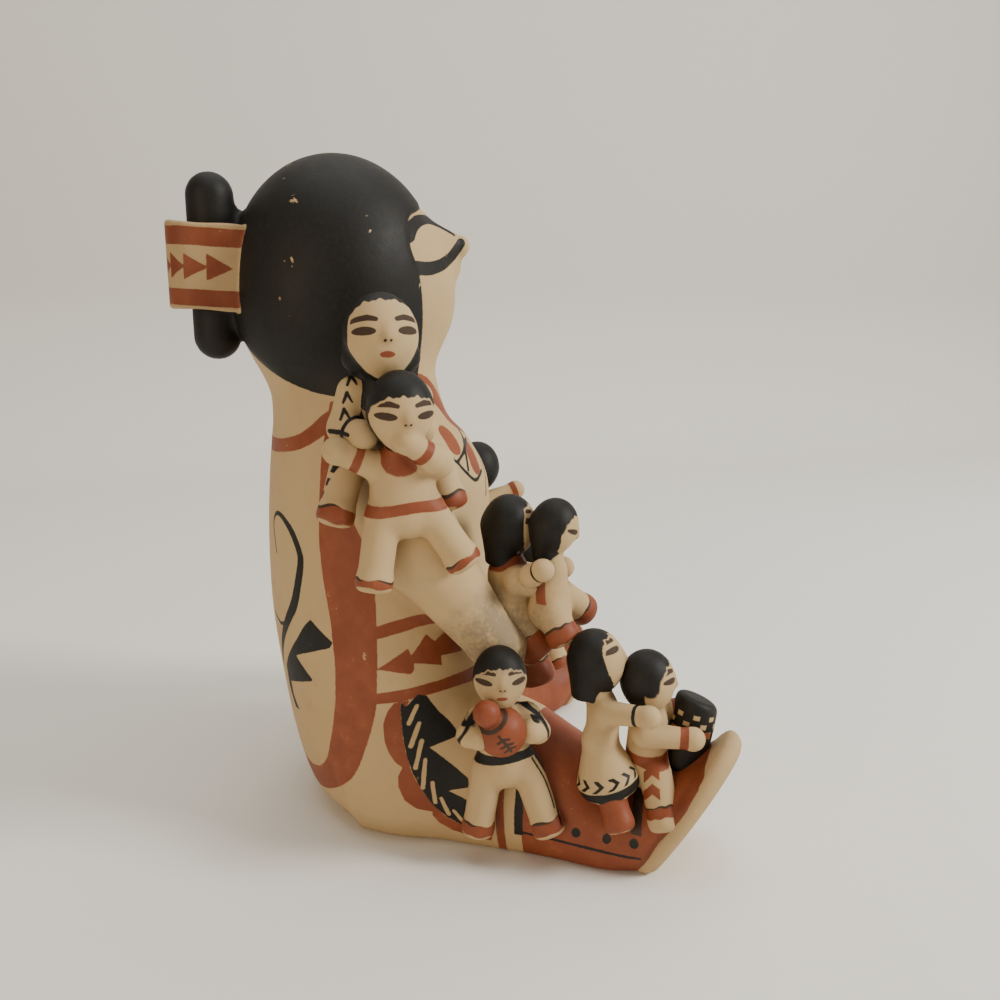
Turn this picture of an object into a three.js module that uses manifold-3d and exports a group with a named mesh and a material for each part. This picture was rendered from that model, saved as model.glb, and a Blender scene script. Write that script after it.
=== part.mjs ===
// A pueblo storyteller of fired clay: a seated mother singing with her head tipped back, and eleven
// children climbing on her shoulders, arms and legs. She and the children are one piece of pottery.
// Millimetres, +Z up. She faces -Y and her right side is -X. The origin is on the ground under her trunk.

import * as THREE from "three";
import { mergeVertices } from "three/addons/utils/BufferGeometryUtils.js";
import Module from "manifold-3d";

const wasm = await Module();
wasm.setup();

// Driving sizes, in millimetres and degrees
const figureHeight = 190;
const legSplay = 31;
const soleThickness = 6.2;
const bandHeight = 23;
const bandThickness = 2.8;
const bunRadius = 6.4;
const drumRadius = 5.8;
const drumHeight = 21;
const jarRadius = 6.3;
const stopperRadius = 3.8;
const stopperSunk = 0.8;
const bigGirlHead = 21;
const childHead = 17;
const smallChildHead = 15;

// The mother's own forms are shares of her height: one unit is a hundredth of it
const unit = figureHeight / 100;

/** A point on the mother, in hundredths of her height: to her left, forward and up. */
function at(left, forward, rise) {
  return new THREE.Vector3(left, -forward, rise).multiplyScalar(unit);
}

/** Turns a closed three.js geometry into a solid that can be joined and cut. */
function solid(geometry) {
  geometry.deleteAttribute("normal");
  geometry.deleteAttribute("uv");
  const merged = mergeVertices(geometry, 1e-4);
  const mesh = new wasm.Mesh({
    numProp: 3,
    vertProperties: Float32Array.from(merged.attributes.position.array),
    triVerts: Uint32Array.from(merged.index.array),
  });
  return new wasm.Manifold(mesh);
}

/** Joins a list of solids into one. */
function join(solids) {
  return solids.reduce((whole, piece) => whole.add(piece));
}

/** Turns a solid back into a three.js geometry. */
function toGeometry(whole) {
  const mesh = whole.getMesh();
  const geometry = new THREE.BufferGeometry();
  geometry.setAttribute("position", new THREE.BufferAttribute(Float32Array.from(mesh.vertProperties), 3));
  geometry.setIndex(new THREE.BufferAttribute(Uint32Array.from(mesh.triVerts), 1));
  geometry.computeVertexNormals();
  return geometry;
}

/** A skin stretched over oval rings, each with a centre, a vector across and a vector of its rise. */
function loft(rings, sides) {
  const profile = rings.map((ring, level) => new THREE.Vector2(1, level));
  profile.unshift(new THREE.Vector2(0, 0));
  profile.push(new THREE.Vector2(0, rings.length - 1));
  const geometry = new THREE.LatheGeometry(profile, sides);
  const position = geometry.attributes.position;
  const point = new THREE.Vector3();
  for (let index = 0; index < position.count; index += 1) {
    const ring = rings[Math.round(position.getY(index))];
    point.copy(ring.centre);
    point.addScaledVector(ring.across, position.getX(index));
    point.addScaledVector(ring.rise, position.getZ(index));
    position.setXYZ(index, point.x, point.y, point.z);
  }
  return solid(geometry);
}

/** An egg of clay: a ball with its own three radii, turned by an optional rotation. */
function ball(centre, radii, sides = 10, turn = new THREE.Quaternion()) {
  const geometry = new THREE.SphereGeometry(1, sides, Math.round(sides * 0.6));
  geometry.rotateX(Math.PI / 2);
  geometry.scale(radii[0], radii[1], radii[2]);
  geometry.applyQuaternion(turn);
  geometry.translate(centre.x, centre.y, centre.z);
  return solid(geometry);
}

/** A tapered roll of clay from one point to another: its far end is round, its near end blunt and buried. */
function roll(start, end, startRadius, endRadius, sides) {
  const length = start.distanceTo(end);
  const bluntness = 0.6;
  const steps = 2;
  const profile = [
    new THREE.Vector2(0, -bluntness * startRadius),
    new THREE.Vector2(startRadius * bluntness, -bluntness * startRadius),
    new THREE.Vector2(startRadius, 0),
  ];
  for (let step = steps; step > 0; step -= 1) {
    const angle = (step / steps) * (Math.PI / 2);
    profile.push(new THREE.Vector2(endRadius * Math.sin(angle), length + endRadius * Math.cos(angle)));
  }
  profile.push(new THREE.Vector2(0, length + endRadius));
  const geometry = new THREE.LatheGeometry(profile, sides);
  const direction = end.clone().sub(start).normalize();
  geometry.applyQuaternion(new THREE.Quaternion().setFromUnitVectors(new THREE.Vector3(0, 1, 0), direction));
  geometry.translate(start.x, start.y, start.z);
  return solid(geometry);
}

// The trunk: height, half width, reach behind and reach in front of the upright axis
const trunkRings = [
  [-3, 16.5, 7, 16],
  [1.5, 19.5, 10.4, 18],
  [5, 21.6, 12.7, 19],
  [12, 22.8, 14.6, 19.5],
  [21, 22.6, 16, 19],
  [32, 21.4, 17.2, 18],
  [43, 19.8, 17.3, 17.3],
  [52, 18.6, 16.8, 16.8],
  [58, 17, 16.2, 13.8],
  [62.5, 15.2, 15.8, 10.3],
  [73, 12.8, 16.2, 8],
];

/** The trunk from the seat to the thick neck. */
function trunk() {
  const rings = trunkRings.map(([rise, halfWidth, behind, inFront]) => ({
    centre: at(0, (inFront - behind) / 2, rise),
    across: at(halfWidth, 0, 0),
    rise: at(0, -(inFront + behind) / 2, 0),
  }));
  return loft(rings.reverse(), 20);
}

// The head, tipped back so that the face looks up and forward
const headCentre = at(0, -5.4, 82.5);
const headRadii = [15.2, 15.6, 17.5];
const faceCentre = at(0, -1.2, 79.8);
const faceRadii = [12.2, 13.4, 14.2];

/** The ball of hair, the face with its nose, and the open mouth. */
function head() {
  const hair = ball(headCentre, headRadii.map((share) => share * unit), 16);
  const face = ball(faceCentre, faceRadii.map((share) => share * unit), 12);
  const nose = roll(at(0, 0.5, 86.6), at(0, 13.1, 86.7), 6.8 * unit, 1.6 * unit, 10);
  const mouth = ball(at(0, 13.4, 79.8), [2 * unit, 1.7 * unit, 2.6 * unit], 8);
  return hair.add(face).add(nose).subtract(mouth);
}

// The knot of hair stands upright behind the head, with a band wrapped round it
const bunTop = 97 * unit;
const bunBottom = 70.4 * unit;
const bunBack = 23.2 * unit;
const bandMiddle = 83.6 * unit;
const bandHalfWidth = 6.3 * unit;
const bandBack = 29.4 * unit;
const bandFront = 15 * unit;
const bandSlope = 0.06;

/** The upright knot of hair. */
function bun() {
  const bottom = new THREE.Vector3(0, bunBack, bunBottom + bunRadius);
  const top = new THREE.Vector3(0, bunBack, bunTop - bunRadius);
  return roll(bottom, top, bunRadius, bunRadius, 12);
}

/** The strip round the knot, bent like a U and let into the head, where it is a little lower. */
function band() {
  const corner = bandHalfWidth * 0.62;
  const outline = new THREE.Shape();
  outline.moveTo(-bandHalfWidth, bandFront);
  outline.lineTo(bandHalfWidth, bandFront);
  outline.lineTo(bandHalfWidth, bandBack - corner);
  outline.absarc(bandHalfWidth - corner, bandBack - corner, corner, 0, Math.PI / 2, false);
  outline.absarc(corner - bandHalfWidth, bandBack - corner, corner, Math.PI / 2, Math.PI, false);
  outline.closePath();
  const inner = bandHalfWidth - bandThickness;
  const innerCorner = Math.max(corner - bandThickness, bandThickness / 2);
  const hollow = new THREE.Path();
  const innerBack = bandBack - bandThickness;
  hollow.moveTo(-inner, bandFront + bandThickness);
  hollow.lineTo(inner, bandFront + bandThickness);
  hollow.lineTo(inner, innerBack - innerCorner);
  hollow.absarc(inner - innerCorner, innerBack - innerCorner, innerCorner, 0, Math.PI / 2, false);
  hollow.absarc(innerCorner - inner, innerBack - innerCorner, innerCorner, Math.PI / 2, Math.PI, false);
  hollow.closePath();
  outline.holes.push(hollow);
  const extent = { depth: bandHeight, bevelEnabled: false, curveSegments: 4 };
  const geometry = new THREE.ExtrudeGeometry(outline, extent);
  geometry.applyMatrix4(new THREE.Matrix4().makeShear(0, 0, 0, bandSlope, 0, 0));
  geometry.translate(0, 0, bandMiddle - bandHeight / 2 - bandSlope * (bandBack + bandFront) / 2);
  return solid(geometry);
}

// A leg runs out from the hip at the splay angle: distance along it, half width, height and lean of each ring
const hipLeft = 11.5;
const hipForward = 6;
const legRings = [
  [0, 10.4, 22.5, 0],
  [9, 10, 21.5, 0],
  [16, 9.4, 20, 0],
  [22, 8.9, 16.5, 0],
  [28, 8.7, 12, 12],
  [31, 8.6, 13.4, 24],
];
const leftLegShare = 0.93;
const legSunk = 5;
const soleHalfWidth = 8.8;
const rightSoleHeight = 19.8;
const leftSoleHeight = 16;
const soleLean = 31;
const soleStart = 33;
const soleRim = 0.5;
const soleOverlap = 0.8;

/** The horizontal direction in which a leg points, with side 1 on her left and -1 on her right. */
function legDirection(side) {
  const splay = THREE.MathUtils.degToRad(legSplay);
  return new THREE.Vector3(side * Math.sin(splay), -Math.cos(splay), 0);
}

/** A point on or in a leg, in hundredths of her height: along it, outward from its middle and up. */
function onLeg(side, along, outward, rise) {
  const direction = legDirection(side);
  const sideways = new THREE.Vector3(-side * direction.y, side * direction.x, 0);
  const point = at(side * hipLeft, hipForward, rise);
  return point.addScaledVector(direction, along * unit).addScaledVector(sideways, outward * unit);
}

/** One upright or leaning oval across a leg, sunk a little way below the ground. Her left leg is shorter. */
function legRing(side, along, halfWidth, height, lean) {
  const direction = legDirection(side);
  const across = new THREE.Vector3(direction.y, -direction.x, 0);
  const leanAngle = THREE.MathUtils.degToRad(lean);
  const rise = new THREE.Vector3(0, 0, Math.cos(leanAngle)).addScaledVector(direction, Math.sin(leanAngle));
  const halfRise = (height + legSunk) / 2 / Math.cos(leanAngle);
  const centre = onLeg(side, along * (side > 0 ? leftLegShare : 1), 0, 0);
  centre.addScaledVector(rise, (halfRise - legSunk / Math.cos(leanAngle)) * unit);
  return {
    centre,
    across: across.multiplyScalar(halfWidth * unit),
    rise: rise.clone().multiplyScalar(halfRise * unit),
  };
}

/** A leg in its boot, and the thick sole, which leans forward with the toes up and narrows outward. */
function leg(side) {
  const rings = legRings.map((ring) => legRing(side, ...ring));
  const height = side < 0 ? rightSoleHeight : leftSoleHeight;
  rings.push(legRing(side, soleStart + soleOverlap, soleHalfWidth - soleRim, height - soleRim, soleLean));
  const boot = loft(rings, 14);
  const inner = legRing(side, soleStart, soleHalfWidth, height, soleLean);
  const outward = inner.rise.clone().cross(inner.across).normalize();
  const narrowing = 0.94;
  const outer = {
    centre: inner.centre.clone().addScaledVector(outward, soleThickness),
    across: inner.across.clone().multiplyScalar(narrowing),
    rise: inner.rise.clone().multiplyScalar(narrowing),
  };
  const sole = loft([inner, outer], 18);
  return boot.add(sole);
}

// Arms: shoulder, elbow, wrist and hand, the same on both sides
const shoulder = [16.4, -0.6, 57];
const elbow = [22.6, 2, 40.6];
const wrist = [23.8, 13.4, 31];
const hand = [20.6, 17.6, 30.6];

/** An arm bent at the elbow, lying against the trunk with the hand in the lap. */
function arm(side) {
  const joint = ([left, forward, rise]) => at(side * left, forward, rise);
  return join([
    roll(joint(shoulder), joint(elbow), 6.8 * unit, 6 * unit, 10),
    roll(joint(elbow), joint(wrist), 6 * unit, 4.2 * unit, 10),
    roll(joint(wrist), joint(hand), 4.2 * unit, 3.3 * unit, 8),
  ]);
}

/**
 * A child, measured in its own head heights from the middle of its hips. Each offset is to its own left,
 * forward and up. Facing is in degrees from straight ahead, turning towards the mother's right. Each leg
 * and arm is a path of two or three places. The skull and the body may be wider than usual.
 */
function child({ hips, facing, headHeight, neck, face, legs, arms, skirt, crown = 1, girth = 1 }) {
  const angle = THREE.MathUtils.degToRad(facing);
  const ahead = new THREE.Vector3(-Math.sin(angle), -Math.cos(angle), 0);
  const left = new THREE.Vector3(Math.cos(angle), -Math.sin(angle), 0);
  const spot = ([leftward, forward, rise]) => {
    const point = hips.clone().addScaledVector(left, leftward * headHeight);
    point.addScaledVector(ahead, forward * headHeight);
    point.z += rise * headHeight;
    return point;
  };
  const turn = new THREE.Quaternion().setFromAxisAngle(new THREE.Vector3(0, 0, 1), -angle);
  const limb = (path, radius, sides) => {
    for (let index = 1; index < path.length; index += 1) {
      pieces.push(roll(spot(path[index - 1]), spot(path[index]), radius, radius, sides));
    }
  };
  const skull = [0.43 * crown, 0.44, 0.52].map((share) => share * headHeight);
  const chest = spot(neck.map((offset) => 0.76 * offset));
  const pieces = [
    ball(spot(face), skull, 10, turn),
    roll(spot([0, 0, 0]), chest, 0.42 * girth * headHeight, 0.37 * girth * headHeight, 8),
  ];
  legs.forEach((path) => limb(path, 0.26 * headHeight, 6));
  arms.forEach((path) => limb(path, 0.22 * headHeight, 6));
  if (skirt) {
    pieces.push(roll(spot(skirt), spot(neck), 0.48 * headHeight, 0.24 * headHeight, 10));
  }
  return join(pieces);
}

/** The two children on her right shoulder: a big girl with a smaller child on her lap. */
function shoulderPair() {
  const girl = child({
    hips: at(-22.1, 0.2, 57.4),
    facing: 90,
    headHeight: bigGirlHead,
    neck: [-0.2, 0.15, 1.0],
    face: [-0.15, 0.28, 1.57],
    legs: [
      [[-0.56, 0.12, 0.1], [-0.74, 0.36, -0.5]],
      [[0.56, 0.05, 0.05], [0.74, 0.2, -0.4]],
    ],
    arms: [
      [[-0.46, 0.16, 0.92], [-0.58, 0.3, 0.6], [-0.4, 0.62, 0.56]],
      [[0.34, 0.2, 0.88], [0.42, 0.5, 0.5]],
    ],
  });
  const baby = child({
    hips: at(-28, 0.8, 52.4),
    facing: 90,
    headHeight: childHead,
    neck: [-0.07, 0.1, 0.84],
    face: [-0.07, 0.26, 1.5],
    crown: 1.12,
    girth: 1.2,
    legs: [
      [[-0.34, 0.08, -0.06], [-0.5, 0.28, -0.96]],
      [[0.34, 0.08, 0], [0.8, 0.22, -0.7]],
    ],
    arms: [
      [[-0.4, 0.1, 0.7], [-1.03, 0.11, 0.94]],
      [[0.5, 0.05, 0.72], [0.14, 0.46, 1.08]],
    ],
  });
  return girl.add(baby);
}

/** The two children on her right hand, one behind the other, looking ahead. */
function handPair() {
  const back = child({
    hips: at(-20.6, 16.8, 35),
    facing: 0,
    headHeight: childHead,
    neck: [0.06, -0.06, 0.82],
    face: [0.06, -0.04, 1.42],
    legs: [
      [[-0.12, 0.1, -0.1], [-0.25, 0.36, -0.52]],
      [[0, 0.3, -0.7], [-0.12, 0.4, -1.06]],
    ],
    arms: [
      [[-0.3, 0.02, 0.62], [-0.34, 0.4, 0.5]],
      [[0.36, 0.02, 0.62], [0.3, 0.4, 0.5]],
    ],
  });
  const front = child({
    hips: at(-24.2, 21.4, 36.4),
    facing: 0,
    headHeight: smallChildHead,
    neck: [0, 0.02, 0.9],
    face: [0.06, 0.08, 1.5],
    legs: [
      [[-0.16, 0, 0], [-0.34, 0.16, -0.47]],
      [[0.26, 0.24, 0.06], [0.5, 0.78, -0.26]],
    ],
    arms: [
      [[-0.2, -0.1, 0.78], [-0.5, -0.27, 0.86]],
      [[0.3, 0.04, 0.74], [0.36, 0.4, 0.68]],
    ],
  });
  return back.add(front);
}

/** The child who stands at the side of her skirt and holds a jar. */
function jarChild() {
  const hips = onLeg(-1, 15.4, 9.6, 15.3);
  const body = child({
    hips,
    facing: 90,
    headHeight: childHead,
    neck: [-0.06, 0.06, 0.94],
    face: [-0.13, 0.18, 1.5],
    girth: 1.08,
    legs: [
      [[-0.3, 0.04, -0.06], [-0.44, 0, -1.06]],
      [[0.32, 0.12, -0.06], [0.6, 0.42, -0.96]],
    ],
    arms: [
      [[-0.42, 0.1, 0.84], [-0.64, 0.28, 0.62], [-0.52, 0.44, 0.6]],
      [[0.32, 0.1, 0.82], [0.52, 0.28, 0.6], [0.38, 0.44, 0.62]],
    ],
  });
  const jarCentre = hips.clone().add(new THREE.Vector3(-0.44, 0.15, 0.7).multiplyScalar(childHead));
  const jar = ball(jarCentre, [jarRadius, jarRadius, jarRadius], 10);
  const stopperWay = new THREE.Vector3(-0.05, 0.38, 0.8).normalize();
  const stopperCentre = jarCentre.clone();
  stopperCentre.addScaledVector(stopperWay, jarRadius + stopperRadius - stopperSunk);
  const stopper = ball(stopperCentre, [stopperRadius, stopperRadius, stopperRadius], 8);
  return join([body, jar, stopper]);
}

/** The two children astride her right boot: one in a dress, and one who beats a drum. */
function bootPair() {
  const dressed = child({
    hips: onLeg(-1, 29, 5.4, 15.2),
    facing: 12,
    headHeight: childHead,
    neck: [0.04, -0.02, 1.06],
    face: [0.08, -0.12, 1.7],
    legs: [[[-0.34, 0.06, -0.3], [-0.53, 0.19, -0.72]]],
    arms: [[[-0.2, 0.06, 0.92], [-0.57, 0.58, 0.98]]],
    skirt: [-0.1, 0.02, -0.16],
  });
  const hips = onLeg(-1, 34.2, 2.8, 14.6);
  const drummer = child({
    hips,
    facing: 12,
    headHeight: smallChildHead,
    neck: [0.04, 0.02, 1.12],
    face: [0.02, 0.02, 1.66],
    crown: 1.1,
    legs: [[[-0.3, 0.12, 0], [-0.62, 0.26, -0.74]]],
    arms: [
      [[-0.3, -0.1, 0.74], [-0.41, 0.68, 0.72]],
      [[0.3, 0.02, 0.92], [0.34, 0.7, 0.96]],
    ],
  });
  const drumCentre = hips.clone().add(new THREE.Vector3(0.06, -0.9, 0.52).multiplyScalar(smallChildHead));
  const drum = new THREE.CylinderGeometry(drumRadius, drumRadius, drumHeight, 12);
  drum.rotateX(Math.PI / 2);
  drum.translate(drumCentre.x, drumCentre.y, drumCentre.z);
  return join([dressed, drummer, solid(drum)]);
}

/** The four children on her left side: at the shoulder, on the forearm, at the skirt and on the boot. */
function leftSideChildren() {
  const seated = [
    [[-0.3, 0.3, -0.1], [-0.42, 0.5, -0.8]],
    [[0.3, 0.3, -0.1], [0.42, 0.5, -0.8]],
  ];
  const armsDown = [
    [[-0.36, 0.06, 0.7], [-0.46, 0.36, 0.3]],
    [[0.36, 0.06, 0.7], [0.46, 0.36, 0.3]],
  ];
  const shoulderChild = child({
    hips: at(21.6, 0.6, 58.4),
    facing: -90,
    headHeight: childHead,
    neck: [0, 0, 0.9],
    face: [0, 0.1, 1.5],
    legs: seated,
    arms: armsDown,
  });
  const reachingChild = child({
    hips: at(17, 16.4, 35.4),
    facing: 0,
    headHeight: childHead,
    neck: [-0.16, 0.31, 1.02],
    face: [-0.16, 0.25, 1.58],
    legs: seated,
    arms: [
      [[-0.48, 0.35, 0.96], [-0.44, 0.95, 1.16]],
      [[0.18, 0.34, 0.88], [0.4, 0.56, 0.42]],
    ],
  });
  const skirtChild = child({
    hips: onLeg(1, 15.4, 9.6, 15.3),
    facing: -90,
    headHeight: childHead,
    neck: [0, 0.1, 0.88],
    face: [0, 0.24, 1.5],
    legs: [
      [[-0.26, 0.05, -0.1], [-0.4, 0.12, -1.04]],
      [[0.26, 0.05, -0.1], [0.4, 0.12, -1.04]],
    ],
    arms: armsDown,
  });
  const bootChild = child({
    hips: onLeg(1, 27, -3, 17.6),
    facing: -10,
    headHeight: smallChildHead,
    neck: [0, 0, 0.94],
    face: [0, 0.06, 1.54],
    legs: [
      [[-0.3, 0.2, -0.1], [-0.5, 0.46, -0.92]],
      [[0.36, 0.2, -0.1], [0.66, 0.5, -0.5]],
    ],
    arms: armsDown,
  });
  return join([shoulderChild, reachingChild, skirtChild, bootChild]);
}

/** The whole figure, cut flat where it stands on the ground. */
function storyteller() {
  const whole = join([
    trunk(),
    head(),
    bun(),
    band(),
    leg(-1),
    leg(1),
    arm(-1),
    arm(1),
    shoulderPair(),
    handPair(),
    jarChild(),
    bootPair(),
    leftSideChildren(),
  ]);
  const depth = 2 * figureHeight;
  const below = new THREE.BoxGeometry(depth, depth, depth);
  below.translate(0, 0, -depth / 2);
  return whole.subtract(solid(below));
}

const clay = new THREE.MeshStandardMaterial({ color: 0xc9b08a, roughness: 0.75, metalness: 0 });
const figure = new THREE.Mesh(toGeometry(storyteller()), clay);
figure.name = "storyteller";

const model = new THREE.Group();
model.add(figure);

export default model;
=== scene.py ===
"""A pueblo storyteller of fired clay: a seated mother who sings with her head tipped back, and eleven
children on her shoulders, arms and legs. Forms are worked out in millimetres as (left, forward, up)
of the mother, skinned as closed meshes, and painted with red and black slip by distance attributes."""

import math
from types import SimpleNamespace

import bpy
import numpy as np
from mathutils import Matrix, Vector


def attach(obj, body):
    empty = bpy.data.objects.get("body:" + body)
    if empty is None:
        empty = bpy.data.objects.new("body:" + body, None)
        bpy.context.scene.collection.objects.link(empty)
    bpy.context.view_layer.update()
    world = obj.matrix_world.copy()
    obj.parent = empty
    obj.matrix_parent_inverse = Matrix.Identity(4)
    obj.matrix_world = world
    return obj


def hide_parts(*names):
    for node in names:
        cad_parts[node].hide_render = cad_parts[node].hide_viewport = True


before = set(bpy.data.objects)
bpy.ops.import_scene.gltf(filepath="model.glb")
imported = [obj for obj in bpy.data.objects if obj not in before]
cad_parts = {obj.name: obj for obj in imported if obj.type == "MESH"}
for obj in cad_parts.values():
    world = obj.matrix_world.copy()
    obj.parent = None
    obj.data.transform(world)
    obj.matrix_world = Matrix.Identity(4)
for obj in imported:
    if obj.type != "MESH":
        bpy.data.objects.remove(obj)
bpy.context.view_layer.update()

# Driving sizes, in millimetres and degrees
figure_height = 190.0
unit = figure_height / 100
leg_splay = math.radians(31)
sole_thickness = 5.7
band_height = 23.0
band_thickness = 2.8
bun_radius = 6.4
drum_radius = 5.8
drum_height = 21.0
jar_radius = 6.3
stopper_radius = 3.5
stopper_sunk = 0.8
big_girl_head = 21.0
child_head = 17.0
small_child_head = 15.0

# How fine the skins are, in millimetres
mother_pitch = 1.4
child_pitch = 0.7
mother_finest = 0.71
child_finest = 0.25
paint_reach = 4.0


# Forms: each gives the distance in millimetres from points to a surface, below zero inside

def length(vectors):
    """The length of each vector."""
    return np.sqrt((vectors * vectors).sum(-1))


def roll(points, start, end, start_radius, end_radius):
    """A tapered roll of clay with round ends."""
    start = np.asarray(start, float)
    axis = np.asarray(end, float) - start
    share = np.clip((points - start) @ axis / (axis @ axis), 0, 1)
    radius = start_radius + share * (end_radius - start_radius)
    return length(points - start - share[:, None] * axis) - radius


def egg(points, centre, radii):
    """A ball of clay with its own three radii."""
    offset = (points - np.asarray(centre, float)) / radii
    size = length(offset)
    return size * (size - 1) / np.maximum(length(offset / radii), 1e-6)


def blend(one, other, width):
    """Joins two forms with a soft hollow between them."""
    overlap = np.maximum(width - np.abs(one - other), 0) / width
    return np.minimum(one, other) - overlap * overlap * width / 4


def trim(one, other, width):
    """Keeps what two forms share, with a soft edge."""
    return -blend(-one, -other, width)


def rolls(points, path, radii):
    """The rolls of clay between the points of a path, one by one."""
    for stretch in zip(path, path[1:], radii, radii[1:]):
        yield roll(points, *stretch)


def build_up(form, *additions):
    """Joins more forms to one, each with the width of its own soft hollow."""
    for other, width in additions:
        form = blend(form, other, width)
    return form


def least(*distances):
    """The nearest of several forms or marks."""
    return np.minimum.reduce(distances)


def within(*distances):
    """What several forms or regions share."""
    return np.maximum.reduce(distances)


def swing(one, other, angle):
    """Two axes, or the places along them, turned by an angle in their own plane."""
    cosine, sine = math.cos(angle), math.sin(angle)
    return one * cosine + other * sine, other * cosine - one * sine


def mirrored(points):
    """The points with her right side turned over onto her left."""
    left, forward, up = points.T
    return np.stack([np.abs(left), forward, up], 1)


def smooth_line(points, steps=6, closed=False):
    """More points along a smooth curve through the given ones."""
    knots = np.asarray(points, float)
    if closed:
        knots = np.vstack([knots[-1:], knots, knots[:2]])
    else:
        knots = np.vstack([2 * knots[0] - knots[1], knots, 2 * knots[-1] - knots[-2]])
    shares = np.arange(steps)[:, None] / steps
    pieces = []
    for before, start, end, after in zip(knots, knots[1:], knots[2:], knots[3:]):
        curve = 2 * start + (end - before) * shares
        curve = curve + (2 * before - 5 * start + 4 * end - after) * shares ** 2
        curve = curve + (3 * start - before - 3 * end + after) * shares ** 3
        pieces.append(curve / 2)
    if not closed:
        pieces.append(knots[-2:-1])
    return np.vstack(pieces)


# The trunk: height, half width, reach behind and reach in front of the upright axis, in units
trunk_rings = smooth_line([
    [-3, 16.5, 7, 16],
    [1.5, 19.5, 10.4, 18],
    [5, 21.6, 12.7, 19],
    [12, 22.8, 14.6, 19.5],
    [21, 22.6, 16, 19],
    [32, 21.4, 17.2, 18],
    [43, 19.8, 17.3, 17.3],
    [52, 18.6, 16.8, 16.8],
    [58, 17, 16.2, 13.8],
    [62.5, 15.2, 15.8, 10.3],
    [73, 12.8, 16.2, 8],
    [80, 12, 16.2, 8],
]) * unit


def oval(across, along, half_across, half_along):
    """Distance to an oval, in its own plane."""
    size = np.sqrt((across / half_across) ** 2 + (along / half_along) ** 2)
    slope = np.sqrt((across / half_across ** 2) ** 2 + (along / half_along ** 2) ** 2)
    return size * (size - 1) / np.maximum(slope, 1e-6)


def trunk(points):
    """The trunk from the seat to the thick neck."""
    left, forward, up = points.T
    heights, *profiles = trunk_rings.T
    width, behind, ahead = (np.interp(up, heights, profile) for profile in profiles)
    side = oval(left, forward - (ahead - behind) / 2, width, (ahead + behind) / 2)
    return np.maximum(side, up - heights[-1])


# The head, tipped back so that the face looks up and forward
hair_top = ((0, -10.3, 156.75), (28.9, 29, 33))
hair_low = ((0, -15.2, 146.5), (27.2, 23.4, 25.5))
face_ball = ((0, -2.3, 151.6), (23.2, 25.5, 27))
nose_root = (0, 1, 165.4)
nose_tip = (0, 24.6, 165)
nose_base = ((0, 14, 159.6), (6.5, 11, 6.5))
mouth_hole = ((0, 25, 151.6), (3.8, 3.4, 4.9))
nose_radii = (13.4, 3.2)
hair_thickness = 0.8
# The edge of the hair in side view, as (forward, up)
hair_edge = smooth_line([
    (12.9, 175.4), (8.6, 172.4), (7.7, 168.5), (8.2, 163.5), (10.3, 157), (11.1, 149), (11, 140),
    (9.8, 130.5), (7, 126.2), (-2, 124.6), (-13, 125.4), (-21, 127.1), (-27, 129.6), (-32.2, 133.3),
    (-36.5, 138), (-39.5, 142.8), (-46, 150), (-46, 196), (16, 196), (14.6, 182),
], closed=True)


def outline(across, along, corners, soft=paint_reach):
    """Distance to a closed outline in its own plane, below zero inside."""
    corners = np.asarray(corners, float)
    distance = np.full(across.shape, soft * 2.0)
    low = corners.min(0) - soft
    high = corners.max(0) + soft
    near = (across > low[0]) & (across < high[0]) & (along > low[1]) & (along < high[1])
    spot = np.stack([across[near], along[near]], 1)
    nearest = np.full(len(spot), soft * 2.0)
    inside = np.zeros(len(spot), bool)
    for start, end in zip(corners, np.roll(corners, -1, 0)):
        side = end - start
        offset = spot - start
        share = np.clip(offset @ side / max(side @ side, 1e-9), 0, 1)
        nearest = np.minimum(nearest, length(offset - share[:, None] * side))
        if side[1] != 0:
            crosses = (start[1] > spot[:, 1]) != (end[1] > spot[:, 1])
            inside ^= crosses & (offset[:, 0] < offset[:, 1] * side[0] / side[1])
    distance[near] = np.where(inside, -nearest, nearest)
    return distance


def ribbon(points, line, widths):
    """Distance to a brush stroke through points in space, with half widths from end to end."""
    line = np.asarray(line, float)
    radii = np.interp(np.linspace(0, 1, len(line)), np.linspace(0, 1, len(widths)), widths)
    near = ((points > line.min(0) - paint_reach) & (points < line.max(0) + paint_reach)).all(1)
    distance = np.full(len(points), paint_reach * 2.0)
    distance[near] = np.minimum(least(*rolls(points[near], line, radii)), paint_reach * 2.0)
    return distance


def stroke(across, along, line, widths):
    """Distance to a brush stroke in its own plane."""
    flat = np.stack([across, along, np.zeros_like(across)], 1)
    return ribbon(flat, [(*spot, 0) for spot in line], widths)


def head(points):
    """The face with its nose, and the hair as a thicker layer with its own edge; mother() cuts the mouth."""
    ball = blend(egg(points, *hair_top), egg(points, *hair_low), 4)
    nose = blend(roll(points, nose_root, nose_tip, *nose_radii), egg(points, *nose_base), 3)
    face = blend(egg(points, *face_ball), nose, 4)
    bare = blend(face, ball + hair_thickness, 3)
    region = outline(points[:, 1], points[:, 2], hair_edge, 20)
    return bare, trim(ball, region, 1.2)


# The knot of hair stands upright behind the head, with a band wrapped round it
bun_top = 97 * unit
bun_bottom = 70.4 * unit
bun_back = 23.2 * unit
bun_tie = ((0, -38.5, 158), (6.5, 9, 16.5))
band_middle = 83.6 * unit
band_slope = 0.06
band_half_width = 6.3 * unit
band_back = 29.4 * unit
band_front = 15 * unit
band_centre = (band_back + band_front) / 2
band_corner = band_half_width * 0.62


def bun(points):
    """The upright knot of hair, and the tie that holds it to the head."""
    bottom = (0, -bun_back, bun_bottom + bun_radius)
    top = (0, -bun_back, bun_top - bun_radius)
    knot = roll(points, bottom, top, bun_radius, bun_radius)
    return blend(knot, egg(points, *bun_tie), 3)


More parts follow.
